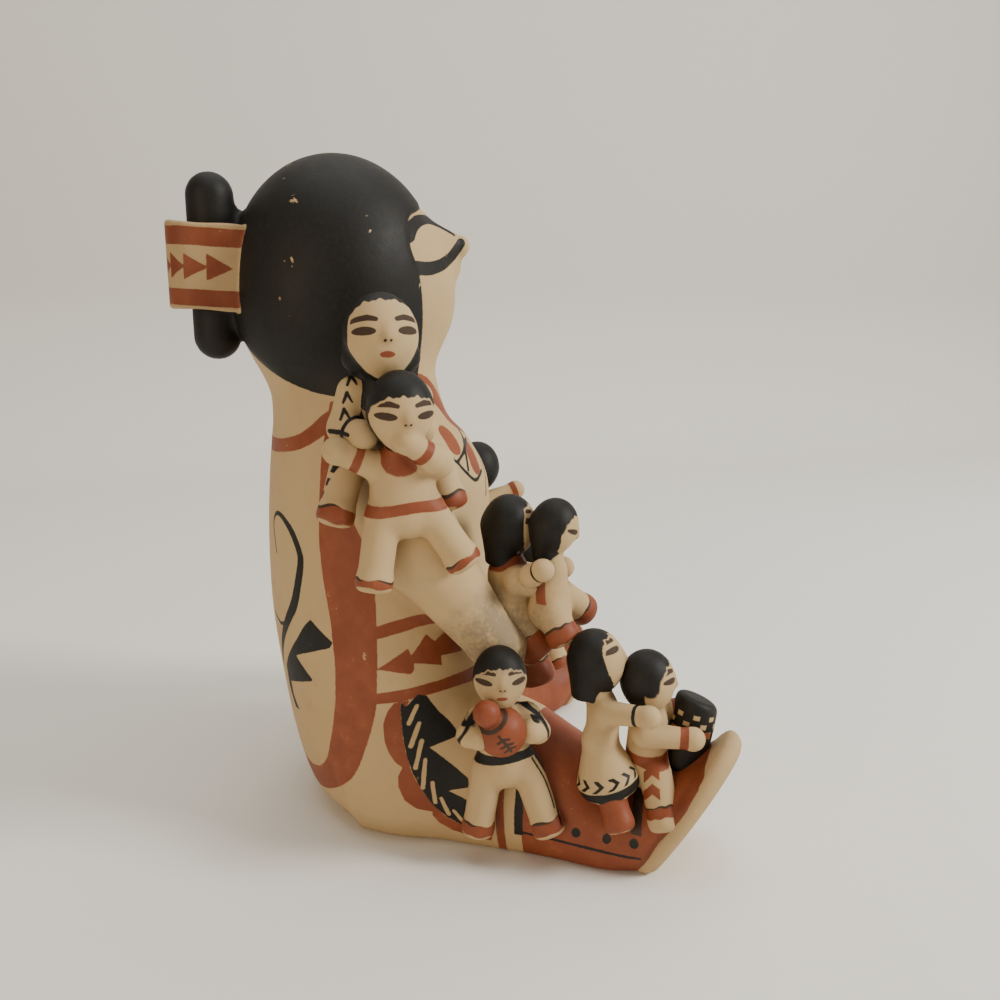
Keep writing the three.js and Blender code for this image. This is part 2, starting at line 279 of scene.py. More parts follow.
def band_rise(forward, up):
    """Height on the band from its middle line, which is lower towards the head."""
    return up - band_middle + band_slope * (forward + band_centre)


def band(points):
    """The strip round the knot, bent like a U and let into the back of the head."""
    left, forward, up = points.T
    across = np.abs(left) - band_half_width + band_corner
    along = np.abs(forward + band_centre) - (band_back - band_front) / 2 + band_corner
    outside = length(np.stack([np.maximum(across, 0), np.maximum(along, 0)], 1))
    edge = outside + np.minimum(np.maximum(across, along), 0) - band_corner
    wall = np.abs(edge + band_thickness / 2) - band_thickness / 2
    flare = 0.35 * np.cos(forward * 0.4) + 0.25 * np.sin(left * 0.5)
    tall = np.abs(band_rise(forward, up)) - band_height / 2 + flare * 0.5
    return trim(wall, tall, 1.2)


# A leg runs out from the hip at the splay angle. Each ring: distance along it, half width, height, lean
hip_left = 11.5 * unit
hip_forward = 6 * unit
leg_rings = smooth_line([
    [0, 10.4, 22.5, 0],
    [9, 10, 21.5, 0],
    [16, 9.4, 20, 0],
    [22, 8.9, 16.5, 2],
    [28, 8.7, 12, 12],
    [31, 8.6, 13.4, 24],
    [33.6, 8.5, 18.9, 31],
    [37, 8.5, 19.8, 31],
])
leg_sunk = 5 * unit
sole_half_width = 8.8 * unit
right_sole_height = 20.6 * unit
left_sole_height = 16 * unit
sole_lean = math.radians(31)
sole_start = 33 * unit
left_leg_share = 0.93
leg_behind = 14
# How often the search for a point's ring halves its range
halvings = 11


def leg_direction(side):
    """Which way is outward from a leg and which way it points; side 1 is her left and -1 her right."""
    return swing(np.array([side, 0, 0]), np.array([0, 1, 0]), -leg_splay)


def leg_place(points, side):
    """Each point as distance along a leg, outward from its middle and up."""
    outward, ahead = leg_direction(side)
    offset = points - (side * hip_left, hip_forward, 0)
    share = left_leg_share if side > 0 else 1
    return offset @ ahead / share, offset @ outward, points[:, 2]


def on_leg(side, along, outward, rise):
    """A point in or on a leg, given in units."""
    sideways, ahead = leg_direction(side)
    start = np.array([side * hip_left, hip_forward, rise * unit])
    return start + ahead * along * unit + sideways * outward * unit


def leg(points, side):
    """A leg in its boot, and the thick sole, which leans forward with the toes up."""
    sole_height = right_sole_height if side < 0 else left_sole_height
    along, outward, up = leg_place(points, side)
    count = np.arange(len(leg_rings))
    starts, *profiles = leg_rings.T
    tilt = np.tan(np.radians(profiles[2]))
    low = np.zeros_like(along)
    high = np.full_like(along, count[-1])
    for _ in range(halvings):
        middle = (low + high) / 2
        start = np.interp(middle, count, starts) * unit
        beyond = along - start - np.interp(middle, count, tilt) * up
        low = np.where(beyond > 0, middle, low)
        high = np.where(beyond > 0, high, middle)
    half_width, height, lean = (np.interp(middle, count, profile) for profile in profiles)
    slope = np.cos(np.radians(lean))
    height = height * unit * (1 + (sole_height / right_sole_height - 1) * np.clip(middle / count[-1], 0, 1))
    half_rise = (height + leg_sunk) / 2 / slope
    boot = oval(outward, up / slope - (height / slope - half_rise), half_width * unit, half_rise)
    lift, past = swing(up, along - sole_start, sole_lean)
    boot = np.maximum(trim(boot, past - 1.0, 0.5), -along - leg_behind)
    sole_rise = (sole_height + leg_sunk) / 2 / math.cos(sole_lean)
    middle_rise = sole_height / math.cos(sole_lean) - sole_rise
    narrowing = 1 - 0.06 * np.clip(past / sole_thickness, 0, 1)
    rim = oval(outward, lift - middle_rise, sole_half_width * narrowing, sole_rise * narrowing)
    return boot, trim(rim, np.abs(past - sole_thickness / 2) - sole_thickness / 2, 3.2)


# Arms: shoulder, elbow, wrist and hand, and the radius at each, the same on both sides
arm_path = np.array([[16.4, -0.6, 57], [22.6, 3, 46.3], [23.8, 13.4, 31.8], [20.6, 17.6, 30.6]]) * unit
arm_radii = np.array([6.8, 6, 3.7, 3.3]) * unit


def arms(points):
    """Both arms, bent at the elbow and lying against the trunk with the hands in the lap."""
    upper, fore, palm = rolls(mirrored(points), arm_path, arm_radii)
    return build_up(upper, (fore, 3), (palm, 2))


def mother_parts(points):
    """The mother's forms one by one, for joining and for telling where each shows."""
    bare, hair = head(points)
    boots, soles = zip(*[leg(points, side) for side in (-1, 1)])
    return SimpleNamespace(trunk=trunk(points), arms=arms(points), bare=bare, hair=hair, bun=bun(points),
                           band=band(points), boots=least(*boots), soles=least(*soles))


def mother(points):
    """The whole mother as one form, cut flat where she sits."""
    parts = mother_parts(points)
    body = build_up(parts.trunk, (parts.boots, 7), (parts.arms, 6), (parts.bare, 5), (parts.soles, 0.8),
                    (parts.hair, 0.5), (parts.bun, 1.5), (parts.band, 0.6))
    body = trim(body, -egg(points, *mouth_hole), 1.0)
    return trim(body, -points[:, 2], 1.6)


# Skins: a form becomes a closed mesh, finer where slip meets bare clay

def measure(form, points, most=150000):
    """The form's distances, a share of the points at a time."""
    return np.concatenate([form(points[first:first + most]) for first in range(0, len(points), most)])


def settle(form, points, reach, rounds=2):
    """Pulls points onto the surface of a form."""
    step = 0.06
    for _ in range(rounds):
        distance = measure(form, points)
        slope = np.empty_like(points)
        for axis in range(3):
            shifted = points.copy()
            shifted[:, axis] += step
            slope[:, axis] = (measure(form, shifted) - distance) / step
        move = slope * (distance / np.maximum((slope * slope).sum(1), 0.05))[:, None]
        far = np.maximum(length(move) / reach, 1)
        points = points - move / far[:, None]
    return points


def skin(form, low, high, pitch):
    """A closed mesh over a form: a coarse look first, then fine cells near its surface."""
    low = np.asarray(low, float)
    counts = 2 * np.ceil((np.asarray(high, float) - low) / pitch / 2).astype(int) + 1
    axes = [low[axis] + pitch * np.arange(0, counts[axis], 2) for axis in range(3)]
    spots = np.stack(np.meshgrid(*axes, indexing="ij"), -1)
    coarse = measure(form, spots.reshape(-1, 3)).reshape(spots.shape[:3])
    nearest = [np.minimum((np.arange(count) + 1) // 2, (count - 1) // 2) for count in counts]
    value = coarse[np.ix_(*nearest)]
    close = np.argwhere(np.abs(value) < 4 * pitch)
    value[tuple(close.T)] = measure(form, low + close * pitch)
    inside = value < 0
    cells = [slice(0, -1), slice(1, None)]
    corners = list(np.ndindex(2, 2, 2))
    filled = sum(inside[cells[a], cells[b], cells[c]].astype(int) for a, b, c in corners)
    active = (filled > 0) & (filled < 8)
    number = np.full(active.shape, -1)
    number[active] = np.arange(active.sum())
    cell = np.argwhere(active)
    total = np.zeros((len(cell), 3))
    crossings = np.zeros(len(cell))
    for corner in corners:
        for axis in range(3):
            if corner[axis]:
                continue
            start = np.array(corner)
            end = start.copy()
            end[axis] = 1
            first = value[tuple((cell + start).T)]
            second = value[tuple((cell + end).T)]
            crossed = (first < 0) != (second < 0)
            share = np.where(crossed, first / np.where(crossed, first - second, 1), 0)
            total += crossed[:, None] * (start + share[:, None] * (end - start))
            crossings += crossed
    points = low + (cell + total / crossings[:, None]) * pitch
    faces = []
    one = np.eye(3, dtype=int)
    for axis in range(3):
        along, second, third = one[axis], one[axis - 2], one[axis - 1]
        here, there = (inside[tuple(part if on else slice(1, -1) for on in along)] for part in cells)
        node = np.argwhere(here != there) + 1 - along
        outward = inside[tuple(node.T)]
        offsets = (0 * along, second, second + third, third)
        ring = np.stack([number[tuple((node - offset).T)] for offset in offsets], 1)
        ring[~outward] = ring[~outward][:, ::-1]
        faces.append(ring)
    quads = np.vstack(faces)
    one, other = (length(points[quads[:, first]] - points[quads[:, first + 2]]) for first in (0, 1))
    quads = np.where((one < other)[:, None], quads, np.roll(quads, -1, 1))
    triangles = np.vstack([quads[:, [0, 1, 2]], quads[:, [0, 2, 3]]])
    return settle(form, points, pitch * 0.45), triangles


def refine(form, points, triangles, paint, finest, passes=4):
    """Splits the triangles near the edges of the paint, and gives the paint at every point."""
    marks = paint(points)
    for _ in range(passes):
        edges = np.sort(triangles[:, [0, 1, 1, 2, 2, 0]].reshape(-1, 2), 1)
        keys = edges[:, 0] * np.int64(len(points)) + edges[:, 1]
        unique, first, back = np.unique(keys, return_index=True, return_inverse=True)
        pair = edges[first]
        reach = length(points[pair[:, 0]] - points[pair[:, 1]])
        near = np.abs(marks[pair]).min((1, 2)) < 0.55 * reach
        cut = near & (reach > finest)
        if not cut.any():
            break
        middle = np.full(len(unique), -1)
        middle[cut] = len(points) + np.arange(cut.sum())
        fresh = settle(form, points[pair[cut]].mean(1), 0.3, 1)
        marks = np.vstack([marks, paint(fresh)])
        points = np.vstack([points, fresh])
        triangles = split(triangles, middle[back].reshape(-1, 3))
    return points, triangles, marks


def split(triangles, middles):
    """Splits each triangle at the new middles of its three edges, where they are not -1."""
    count = (middles >= 0).sum(1)
    pieces = [triangles[count == 0]]
    whole = count == 3
    corner, middle = triangles[whole], middles[whole]
    for first in range(3):
        pieces.append(np.stack([corner[:, first], middle[:, first], middle[:, first - 1]], 1))
    pieces.append(middle)
    for first in range(3):
        corner, middle = np.roll(triangles, -first, 1), np.roll(middles, -first, 1)
        lone = (count == 1) & (middle[:, 0] >= 0)
        (a, b, c), m = corner[lone].T, middle[lone, 0]
        pieces += [np.stack([a, m, c], 1), np.stack([m, b, c], 1)]
        double = (count == 2) & (middle[:, 2] < 0)
        (a, b, c), (m, n) = corner[double].T, middle[double, :2].T
        pieces += [np.stack([m, b, n], 1), np.stack([a, m, n], 1), np.stack([a, n, c], 1)]
    return np.vstack(pieces)


def crease_shade_and_dirt(form, points, triangles, reach=1.8):
    """How much of a hollow each point lies in, from 0 to 1; painted shade and dirt darken the clay there."""
    corner = points[triangles]
    across = np.cross(corner[:, 1] - corner[:, 0], corner[:, 2] - corner[:, 0])
    normal = np.zeros_like(points)
    for index in range(3):
        for axis in range(3):
            normal[:, axis] += np.bincount(triangles[:, index], across[:, axis], len(points))
    normal /= np.maximum(length(normal), 1e-12)[:, None]
    outside = np.abs(measure(form, points + normal * reach))
    inside = np.abs(measure(form, points - normal * reach))
    clear = np.minimum(outside, inside) / reach
    return np.clip((1 - clear) * 1.6 - 0.1, 0, 1)


slips = ("red", "black", "brown")


class Slip:
    """The slips on a piece, each as distances to the edge of its marks, below zero inside."""

    def __init__(self, points):
        self.edges = {name: np.full(len(points), paint_reach) for name in slips}

    def add(self, name, *regions):
        """Adds a mark: what all the regions share."""
        self.edges[name] = least(self.edges[name], within(*regions))

    def marks(self, scale=1.0):
        """All slips side by side, in millimetres."""
        marks = np.stack(list(self.edges.values()), 1) * scale
        return np.clip(marks, -paint_reach, paint_reach)


def add_object(name, data):
    """Puts new data into the scene as an object."""
    made = bpy.data.objects.new(name, data)
    bpy.context.scene.collection.objects.link(made)
    return made


def make_piece(name, form, paint, low, high, pitch=child_pitch, finest=child_finest, place=None):
    """Skins a form, paints it and makes it a mesh in metres, placed on the mother."""
    points, triangles = skin(form, low, high, pitch)
    points, triangles, marks = refine(form, points, triangles, paint, finest)
    # The last column, hollow, is how deep each point lies in a crease: it carries painted shade and dirt
    values = np.column_stack([marks, crease_shade_and_dirt(form, points, triangles)])
    if place:
        points = place(points)
    points[:, 2] = np.maximum(points[:, 2], 0)
    mesh = bpy.data.meshes.new(name)
    mesh.from_pydata(points * (0.001, -0.001, 0.001), [], triangles[:, ::-1].tolist())
    mesh.polygons.foreach_set("use_smooth", np.ones(len(mesh.polygons), bool))
    for layer, value in zip((*slips, "hollow"), values.T):
        data = mesh.attributes.new(layer, "FLOAT", "POINT").data
        data.foreach_set("value", value.astype(np.float32))
    mesh.update()
    print(name, len(points), "points", len(triangles), "triangles")
    return add_object(name, mesh)


# The mother's paint. Round the trunk a place is (degrees from the middle of the back, height), and on
# the skirt and boots it is (along the leg, height); both are the same on her left and right sides

degree_width = 0.56


def turned(corners):
    """Corners given in degrees round the trunk, as widths in millimetres."""
    return np.asarray(corners, float) * (degree_width, 1)


neck_band = smooth_line(turned([
    (-15, 110.4), (0, 110.2), (15, 110.3), (30, 111.2), (43, 113), (52, 115.7), (58, 118.3), (63, 120.1),
    (76, 124), (95, 127.5), (120, 127.5), (143, 122.5), (160, 116.5), (180, 113.5), (195, 113.5),
]))
neck_widths = (2, 1.9, 2.3, 2.3, 3.2, 4)
cape_outer = smooth_line(turned([
    (-25, 8), (0, 8), (35, 9), (55.3, 12.6), (70.2, 20.2), (77.2, 31), (81.4, 42.2), (82.2, 52.3),
    (82.5, 61.6), (82, 76.8), (80, 85.5), (77.9, 96.6), (76.5, 110), (76, 126),
]))
cape_inner = smooth_line(turned([
    (60, 124), (57.5, 110), (57.1, 90.1), (59.4, 77.5), (63.4, 64.7), (65, 51), (63.2, 38),
    (57.5, 25.1), (50, 19.6), (40.7, 17.4), (36.5, 17), (20, 16.6), (0, 16.5), (-25, 16.5),
]))
hook_line = smooth_line(turned([
    (24.1, 80.1), (21.3, 84.6), (19.5, 87.6), (21.1, 90.4), (25.4, 91.8), (32, 91), (39.5, 88.1),
    (45.2, 83.4), (46.3, 80), (44.5, 73.9), (41, 67.4), (33.6, 61.2), (24.7, 54), (17, 46),
]))
hook_widths = (0.25, 0.35, 0.4, 0.5, 0.7, 0.9, 1.05, 1.1, 1.2, 1.3, 1.6, 1.5, 1.1, 0.5)
hook_arm = turned([(33, 60.5), (24.6, 59.4), (14, 61)])
hook_arm_widths = (0.7, 0.4)
back_shape = turned([
    (52.6, 65.1), (64.1, 59.8), (62.5, 58.1), (40.2, 52.4), (52.2, 47.2), (51.1, 46.5), (29.3, 42.2),
    (29.6, 38), (35.7, 34.2), (29.5, 33.9), (23.7, 39.5), (24.5, 46.2), (31.4, 50.8), (42.1, 57.6),
    (49.2, 63.1),
])
upper_stripe = turned([
    (78, 64.4), (88, 66.4), (96.2, 67.6), (110, 68.8), (130, 70), (130, 66.6), (110, 65.4), (98.6, 64.4),
    (89.4, 63), (79, 61.2),
])
lower_stripe = turned([
    (78, 46.5), (89.5, 47.7), (100.6, 48.7), (112, 49.3), (135, 49.6), (182, 49.6), (200, 49.6), (200, 46),
    (182, 46), (135, 46), (121.2, 45.6), (111.3, 46), (100.3, 45.6), (89.9, 44.5), (78, 43.6),
])
arrow_chain = turned([
    (82.3, 53.6), (94.1, 59), (95.2, 57), (101.5, 62.2), (103.5, 60.6), (105, 59.8), (112, 63.4),
    (114.5, 61), (122, 64.6), (127, 57.5), (116.5, 59.5), (117.5, 55), (107.1, 55.6), (107.3, 52.8),
    (101, 54.1), (96, 54.7), (96.1, 52.9), (94.7, 51.8),
])
skirt_field = [
    (1.2, 44.6), (2.4, 43), (5.2, 46.2), (7.1, 45.3), (9.8, 40.4), (14.1, 34.6), (14, 33), (8.1, 30.9),
    (12.3, 27.2), (18.6, 22.3), (18.8, 19.9), (13.2, 18.5), (21, 15), (25, 9.5), (24.6, 5.2),
    (17.1, 7.7), (12.6, 10), (9.2, 13.8), (6.3, 18.8), (4, 24.1), (2.6, 29.7), (1.8, 34.7), (1.4, 39.6),
]
skirt_bars = [
    ((5, 43), (3.2, 38.2)), ((5.6, 38), (3.7, 31.7)), ((6.3, 33), (4.9, 25.4)),
    ((7.3, 27.7), (6.7, 19.4)), ((9.1, 20.9), (9.7, 14.8)), ((11.3, 16.1), (13.1, 11.2)),
    ((14.6, 12.4), (16.8, 9.4)), ((18, 10.2), (20.6, 7.6)),
]
bar_widths = (0.5, 0.57)
scallops = [
    (1.4, 44.6), (-0.6, 43.9), (-2.1, 41.7), (-3.2, 38.2), (-2.9, 33.2), (-1.8, 29.7), (-0.1, 26.9),
    (1.6, 25.6), (0.4, 23), (0.2, 19.8), (1.6, 15.4), (4.6, 12.7), (8.9, 11.7), (8.6, 10.6), (10.1, 7.9),
    (13.1, 5.6), (18, 4.4), (24.6, 3.6), (26, 8), (16, 12), (9, 22), (5, 34), (4, 44.6),
]
# The boots: their lines and dots by place along the leg and height, and the half widths of the lines
boot_start = 33.5
boot_end = 66.3
seam_place, seam_top = 27.6, 24
post_place, post_foot, post_top = 32.6, 7.4, 22.5
front_post_place, front_post_foot, front_post_top = 64.5, 12.8, 22
post_half, thin_half, front_post_half = 1.2, 0.42, 1.5
thin_height, thin_slope = 8.4, 0.075
boot_dots = ((48.7, 10.9), (57, 10.4), (64.4, 10.5))
dot_radii = (1.25, 1.4)
# Her collar on one side, as (left, forward, up): red stones, and the black threads between them
stones = [
    ((26.5, 8.5, 115.5), (28, 9, 112.5)), ((19.4, 17.4, 113.2), (21.2, 19.2, 110.5)),
    ((14, 24.8, 108.3), (17, 26, 103.9)), ((0, 28, 106), (0, 30, 101.5)),
]
stone_widths = (3.2, 3.1)
threads = [
    [(8.1, 22.4, 113.5), (14.3, 23.2, 110.2), (18, 22.6, 108.4), (24.2, 19.6, 106.1)],
    [(9, 25, 111), (16.2, 23.2, 109.1), (19.6, 23, 106.3), (22.1, 23, 103.4)],
    [(25.2, 16.9, 108.4), (24.2, 19.8, 105.8), (23.3, 22.3, 102.9), (20.7, 25.4, 100.2), (13.8, 28.4, 101.7)],
    [(3.5, 27.5, 108.5), (7.5, 29.5, 104), (11.5, 30.2, 100), (15.7, 29.3, 94.6)],
]
thread_widths = (0.45, 0.6, 0.5)
# Her face in side view, as (forward, up)
eye_line = smooth_line([(9.7, 158.7), (13.7, 158.6), (18.1, 159.9), (22, 162.5), (24.8, 165.9)])
eye_widths = (1.9, 1.85, 1.6, 1.45, 1.3)
brow_line = smooth_line([
    (7.8, 167), (8.9, 169.2), (10.7, 170.9), (13, 171.8), (15.7, 171.8), (19.2, 170.4), (23, 168),
])
brow_widths = (1.9, 1.8, 1.7, 1.5, 1.1, 0.7, 0.3)
# The hair band: each stripe's rise and half width, and where the arrows round it start and have their tips
band_arrow_start = 28.5
band_stripes = ((7.7, 2.4), (-8.2, 2.2))
band_arrows = (9.7, 16.1, 22.5, 28.9, 35.3)
# Where the head's slip begins and the trunk's ends
neck_height = 115
neck_overlap = 3


def paint_trunk(points, parts, slip):
    """Red and black slip on the trunk: neck band, cape border, back motif, side stripes and collar."""
    left, forward, up = points.T
    turn = np.degrees(np.arctan2(np.abs(left), -forward)) * degree_width
    folded = mirrored(points)
    on_body = parts.trunk - parts.arms
    cape = np.vstack([cape_outer, cape_inner])
    red = [outline(turn, up, shape) for shape in (cape, upper_stripe, lower_stripe, arrow_chain)]
    red.append(stroke(turn, up, neck_band, neck_widths))
    red += [ribbon(folded, stone, stone_widths) for stone in stones]
    slip.add("red", least(*red), on_body - 0.4)
    black = [outline(turn, up, back_shape), stroke(turn, up, hook_arm, hook_arm_widths)]
    black.append(stroke(turn, up, hook_line, hook_widths))
    black += [ribbon(folded, smooth_line(thread), thread_widths) for thread in threads]
    above = up - neck_height - neck_overlap
    slip.add("black", least(*black), on_body, parts.trunk - parts.hair - 0.5, above)


def paint_legs(points, parts, slip):
    """The skirt's black field with white bars and red scallops, and the red boots with black lines."""
    places = [leg_place(points, side) for side in (-1, 1)]
    along, outward, up = np.where(points[:, 0] < 0, *places)
    clear = least(parts.boots, parts.soles, parts.trunk) - parts.arms - 0.4
    outer = within(-outward - 1, clear)
    field = outline(along, up, skirt_field)
    bars = least(*[stroke(along, up, bar, bar_widths) for bar in skirt_bars])
    slip.add("black", field, -bars, outer)
    slip.add("red", outline(along, up, scallops), -field, outer)
    slip.add("red", np.abs(along - seam_place) - post_half, up - seam_top, outer)
    post = np.abs(along - post_place - 0.02 * up) - post_half
    slip.add("black", post, up - post_top, post_foot - up, outer)
    line = np.abs(up - (thin_height - thin_slope * (along - boot_start))) - thin_half
    slip.add("black", line, boot_start - 1.6 - along, along - boot_end, outer)
    for spot, height in boot_dots:
        slip.add("black", oval(along - spot, up - height, *dot_radii), outer)
    front_post = np.abs(along - front_post_place - 0.1 * (16 - up)) - front_post_half
    slip.add("brown", front_post, front_post_foot - up, up - front_post_top, outer)
    past = swing(up, along - sole_start, sole_lean)[1]
    drips = np.clip(np.sin(up * 0.9), 0, 1) * np.clip(up / 12 - 2, 0, 1)
    spill = 1.3 + 0.3 * np.sin(up * 0.4) + 0.9 * drips
    spill = spill - 0.42 * np.clip(up - 27, 0, 12)
    slip.add("red", boot_start - along, past - spill, clear)


def paint_head(points, parts, slip):
    """The hair, the closed eyes and arched brows, the mouth, and the red stripes of the hair band."""
    left, forward, up = points.T
    above = neck_height - neck_overlap - up
    hair = np.where(up > neck_height, outline(forward, up, hair_edge) - 0.1, paint_reach)
    knot = parts.bun - least(parts.trunk + 0.4, parts.bare)
    on_band = parts.band - least(parts.bun, parts.hair) - 0.2
    off_band = within(-on_band, above)
    on_face = within(parts.bare - parts.hair - 0.3, 4 - forward)
    slip.add("black", least(hair, knot), off_band)
    for line, widths in ((eye_line, eye_widths), (brow_line, brow_widths)):
        slip.add("black", stroke(forward, up, line, widths), on_face, off_band)
    lip = egg(points, mouth_hole[0], np.add(mouth_hole[1], 0.9))
    slip.add("red", lip, on_face, above)
    round_corner = (band_half_width - np.minimum(np.abs(left), band_half_width)) * 1.1
    around = -forward - band_arrow_start + round_corner
    rise = band_rise(forward, up)
    red = [np.abs(rise - middle) - half for middle, half in band_stripes]
    arrows = [[(tip, -0.2), (tip + 6.9, 3.4), (tip + 7.1, -3.7)] for tip in band_arrows]
    red += [outline(around, rise, arrow) for arrow in arrows]
    slip.add("red", least(*red), on_band, np.abs(rise) - band_height / 2 + 0.5, above)


def paint_mother(points):
    """All the mother's slip."""
    parts = mother_parts(points)
    slip = Slip(points)
    for paint in (paint_trunk, paint_legs, paint_head):
        paint(points, parts, slip)
    return slip.marks()


# Children. Each is measured in its own head heights from the middle of its hips: to its left, ahead and up

# The painted face, from the middle of the head, on both sides of it
brow_spots = [(0.12, 0.13), (0.21, 0.155), (0.32, 0.15), (0.39, 0.135)]
brow_halves = np.array([0.024, 0.032, 0.03, 0.02])
eye_radii = (0.126, 0.05)
nostril_place, nostril_radii = (0.034, -0.12), (0.018, 0.016)
mouth_rise, mouth_radii = -0.262, (0.088, 0.034)
# What a child looks like where its own look says nothing else
plain_look = dict(
    gaze=(0, 0, 0), crown=1.0, girth=1.0, chest=0.34, seat=0.4, skirt=None, locks=False, bob=False,
    window=(0, -0.12, 0.4, 0.48), hairline=0.08, eye_place=0.25, slant=0.1, lift=0, brow=1.15,
    hand_width=0.21, leg_width=0.255, cuff=None, cuff_place=0.24, cuff_half=0.045, shoe_top=-0.12,
    sole_line=0.5, collar=None, collar_reach=0.36, belt=None, extra=None,
)


def child(name, hips, facing, size, neck, face, legs, arms, **look):
    """One child: where it sits, how it is posed, and how it is dressed."""
    return SimpleNamespace(name=name, hips=np.asarray(hips, float), facing=math.radians(facing), size=size,
                           neck=np.array(neck), face=np.array(face), legs=legs, arms=arms,
                           **(plain_look | look))


def at(left, forward, rise):
    """A point on the mother, in units."""
    return np.array([left, forward, rise]) * unit


def both(*path):
    """A limb's path on the right and on the left."""
    return [[(side * left, ahead, up) for left, ahead, up in path] for side in (-1, 1)]


def limb_frame(places, path):
    """How far points are past the far end of a limb, along its last stretch."""
    axis = np.subtract(path[-1], path[-2])
    return (places - np.asarray(path[-1])) @ (axis / np.linalg.norm(axis))


def limb(places, path, start_radius, end_radius):
    """A limb rolled along its path, thinning towards its end."""
    first, *later = rolls(places, path, np.linspace(start_radius, end_radius, len(path)))
    return build_up(first, *[(form, 0.08) for form in later])


def face_frame(places, who):
    """Places on a child's head, from its middle and turned with it: to its left, ahead and up."""
    turn, nod, lean = np.radians(who.gaze)
    left, ahead, up = np.eye(3)
    left, ahead = swing(left, ahead, turn)
    up, ahead = swing(up, ahead, nod)
    left, up = swing(left, up, lean)
    return (places - who.face) @ np.stack([left, ahead, up], 1) / who.crown


def skull(places, who):
    """An egg of a head with a narrower chin and a small nose."""
    offset = face_frame(places, who)
    low = np.clip(-offset[:, 2] / 0.52, 0, 1)
    narrow = 1 - 0.26 * low ** 1.6
    shaped = np.stack([offset[:, 0] / narrow, offset[:, 1] / (1 - 0.1 * low), offset[:, 2]], 1)
    ball = egg(shaped, (0, 0, 0), (0.43, 0.44, 0.52)) * 0.9
    nose = roll(offset, (0, 0.395, 0.03), (0, 0.415, -0.07), 0.035, 0.052)
    return blend(ball, nose, 0.08) * who.crown


def hem_rise(places, who):
    """How far points are above the cut of a skirt, which rises towards the front."""
    return places[:, 2] - who.skirt[2] + 0.24 - 0.3 * places[:, 1]


def child_leg(places, path, width):
    """A leg with a foot, cut flat below the sole."""
    foot = egg(places, path[-1], (width * 1.06,) * 3)
    form = blend(limb(places, path, width + 0.01, width), foot, 0.08)
    return trim(form, limb_frame(places, path) - width * 0.62, 0.1)


def child_arm(places, path, width):
    """An arm with a round hand."""
    palm = egg(places, path[-1], (width,) * 3)
    return blend(limb(places, path, width + 0.02, width * 0.84), palm, 0.06)


def child_parts(points, who):
    """A child's forms one by one, in head heights."""
    places = points / who.size
    broad = (who.girth, 1, 1)
    torso = roll(places / broad, (0, 0, 0), 0.76 * who.neck / broad, who.seat, who.chest)
    throat = roll(places, 0.8 * who.neck, who.face - (0, 0.04, 0.3), 0.24, 0.2)
    torso = blend(torso, throat, 0.15)
    legs = [child_leg(places, path, who.leg_width) for path in who.legs]
    sleeves = [child_arm(places, path, who.hand_width) for path in who.arms]
    skirt, hair = np.full((2, len(points)), 9.0)
    if who.skirt:
        flare = roll(places, who.skirt, who.waist, 0.5, 0.25)
        bodice = roll(places, who.waist, who.neck * 0.96, 0.25, 0.2)
        skirt = trim(blend(flare, bodice, 0.1), -hem_rise(places, who), 0.07)
    if who.locks:
        for lock in both((0.25, -0.14, 0.1), (0.3, -0.12, -0.25), (0.2, -0.1, -0.44)):
            hair = np.minimum(hair, limb(places, who.face + lock, 0.19, 0.1))
    if who.bob:
        fall = roll(places, who.face + (0, -0.1, 0), who.face + (0, -0.14, -0.5), 0.36, 0.25)
        hair = trim(fall, who.face[2] - 0.6 - places[:, 2], 0.05)
    head_form = skull(places, who)
    dressed = least(torso, skirt, *legs) - least(head_form, hair, *sleeves) - 0.01
    return SimpleNamespace(skull=head_form, torso=torso, legs=legs, arms=sleeves, skirt=skirt, hair=hair,
                           dressed=dressed, forms=[head_form, torso, skirt, hair, *legs, *sleeves])


def alone(part, parts):
    """Where one form of a child stands clear of its others."""
    return part - least(*[form for form in parts.forms if form is not part]) - 0.01


def child_form(points, who):
    """The whole child, in millimetres."""
    parts = child_parts(points, who)
    legs = [(form, 0.12) for form in parts.legs]
    sleeves = [(form, 0.1) for form in parts.arms]
    late = ((parts.hair, 0.04), (parts.skull, 0.05))
    return build_up(parts.torso, *legs, (parts.skirt, 0.06), *sleeves, *late) * who.size


def paint_face(places, who, parts, slip):
    """The hair round a child's face, and its brows, eyes, nostrils and mouth."""
    across, ahead, up = face_frame(places, who).T
    on_head = alone(parts.skull, parts)
    window = who.window
    jag = 0.012 * np.sin(across * 37) + 0.008 * np.sin(across * 71 + 1)
    wide_share = np.abs((across - window[0]) / window[2]) ** 3
    tall_share = np.abs((up - window[1] + jag) / window[3]) ** 3
    bare_face = (np.cbrt(wide_share + tall_share) - 1) * 0.42
    bare_face = within(bare_face, who.hairline - ahead + 0.5 * jag)
    wide = np.abs(across)
    front = within(0.12 - ahead, on_head)
    above = up - who.lift
    brow = stroke(wide, above, brow_spots, brow_halves * who.brow)
    beside = wide - who.eye_place
    eye = oval(beside, above - 0.005 - who.slant * beside, *eye_radii)
    nostrils = oval(wide - nostril_place[0], up - nostril_place[1], *nostril_radii)
    slip.add("black", -bare_face, on_head)
    slip.add("black", alone(parts.hair, parts))
    slip.add("brown", least(brow, eye, nostrils), front, bare_face + 0.02)
    slip.add("red", oval(across, up - mouth_rise, *mouth_radii), front)


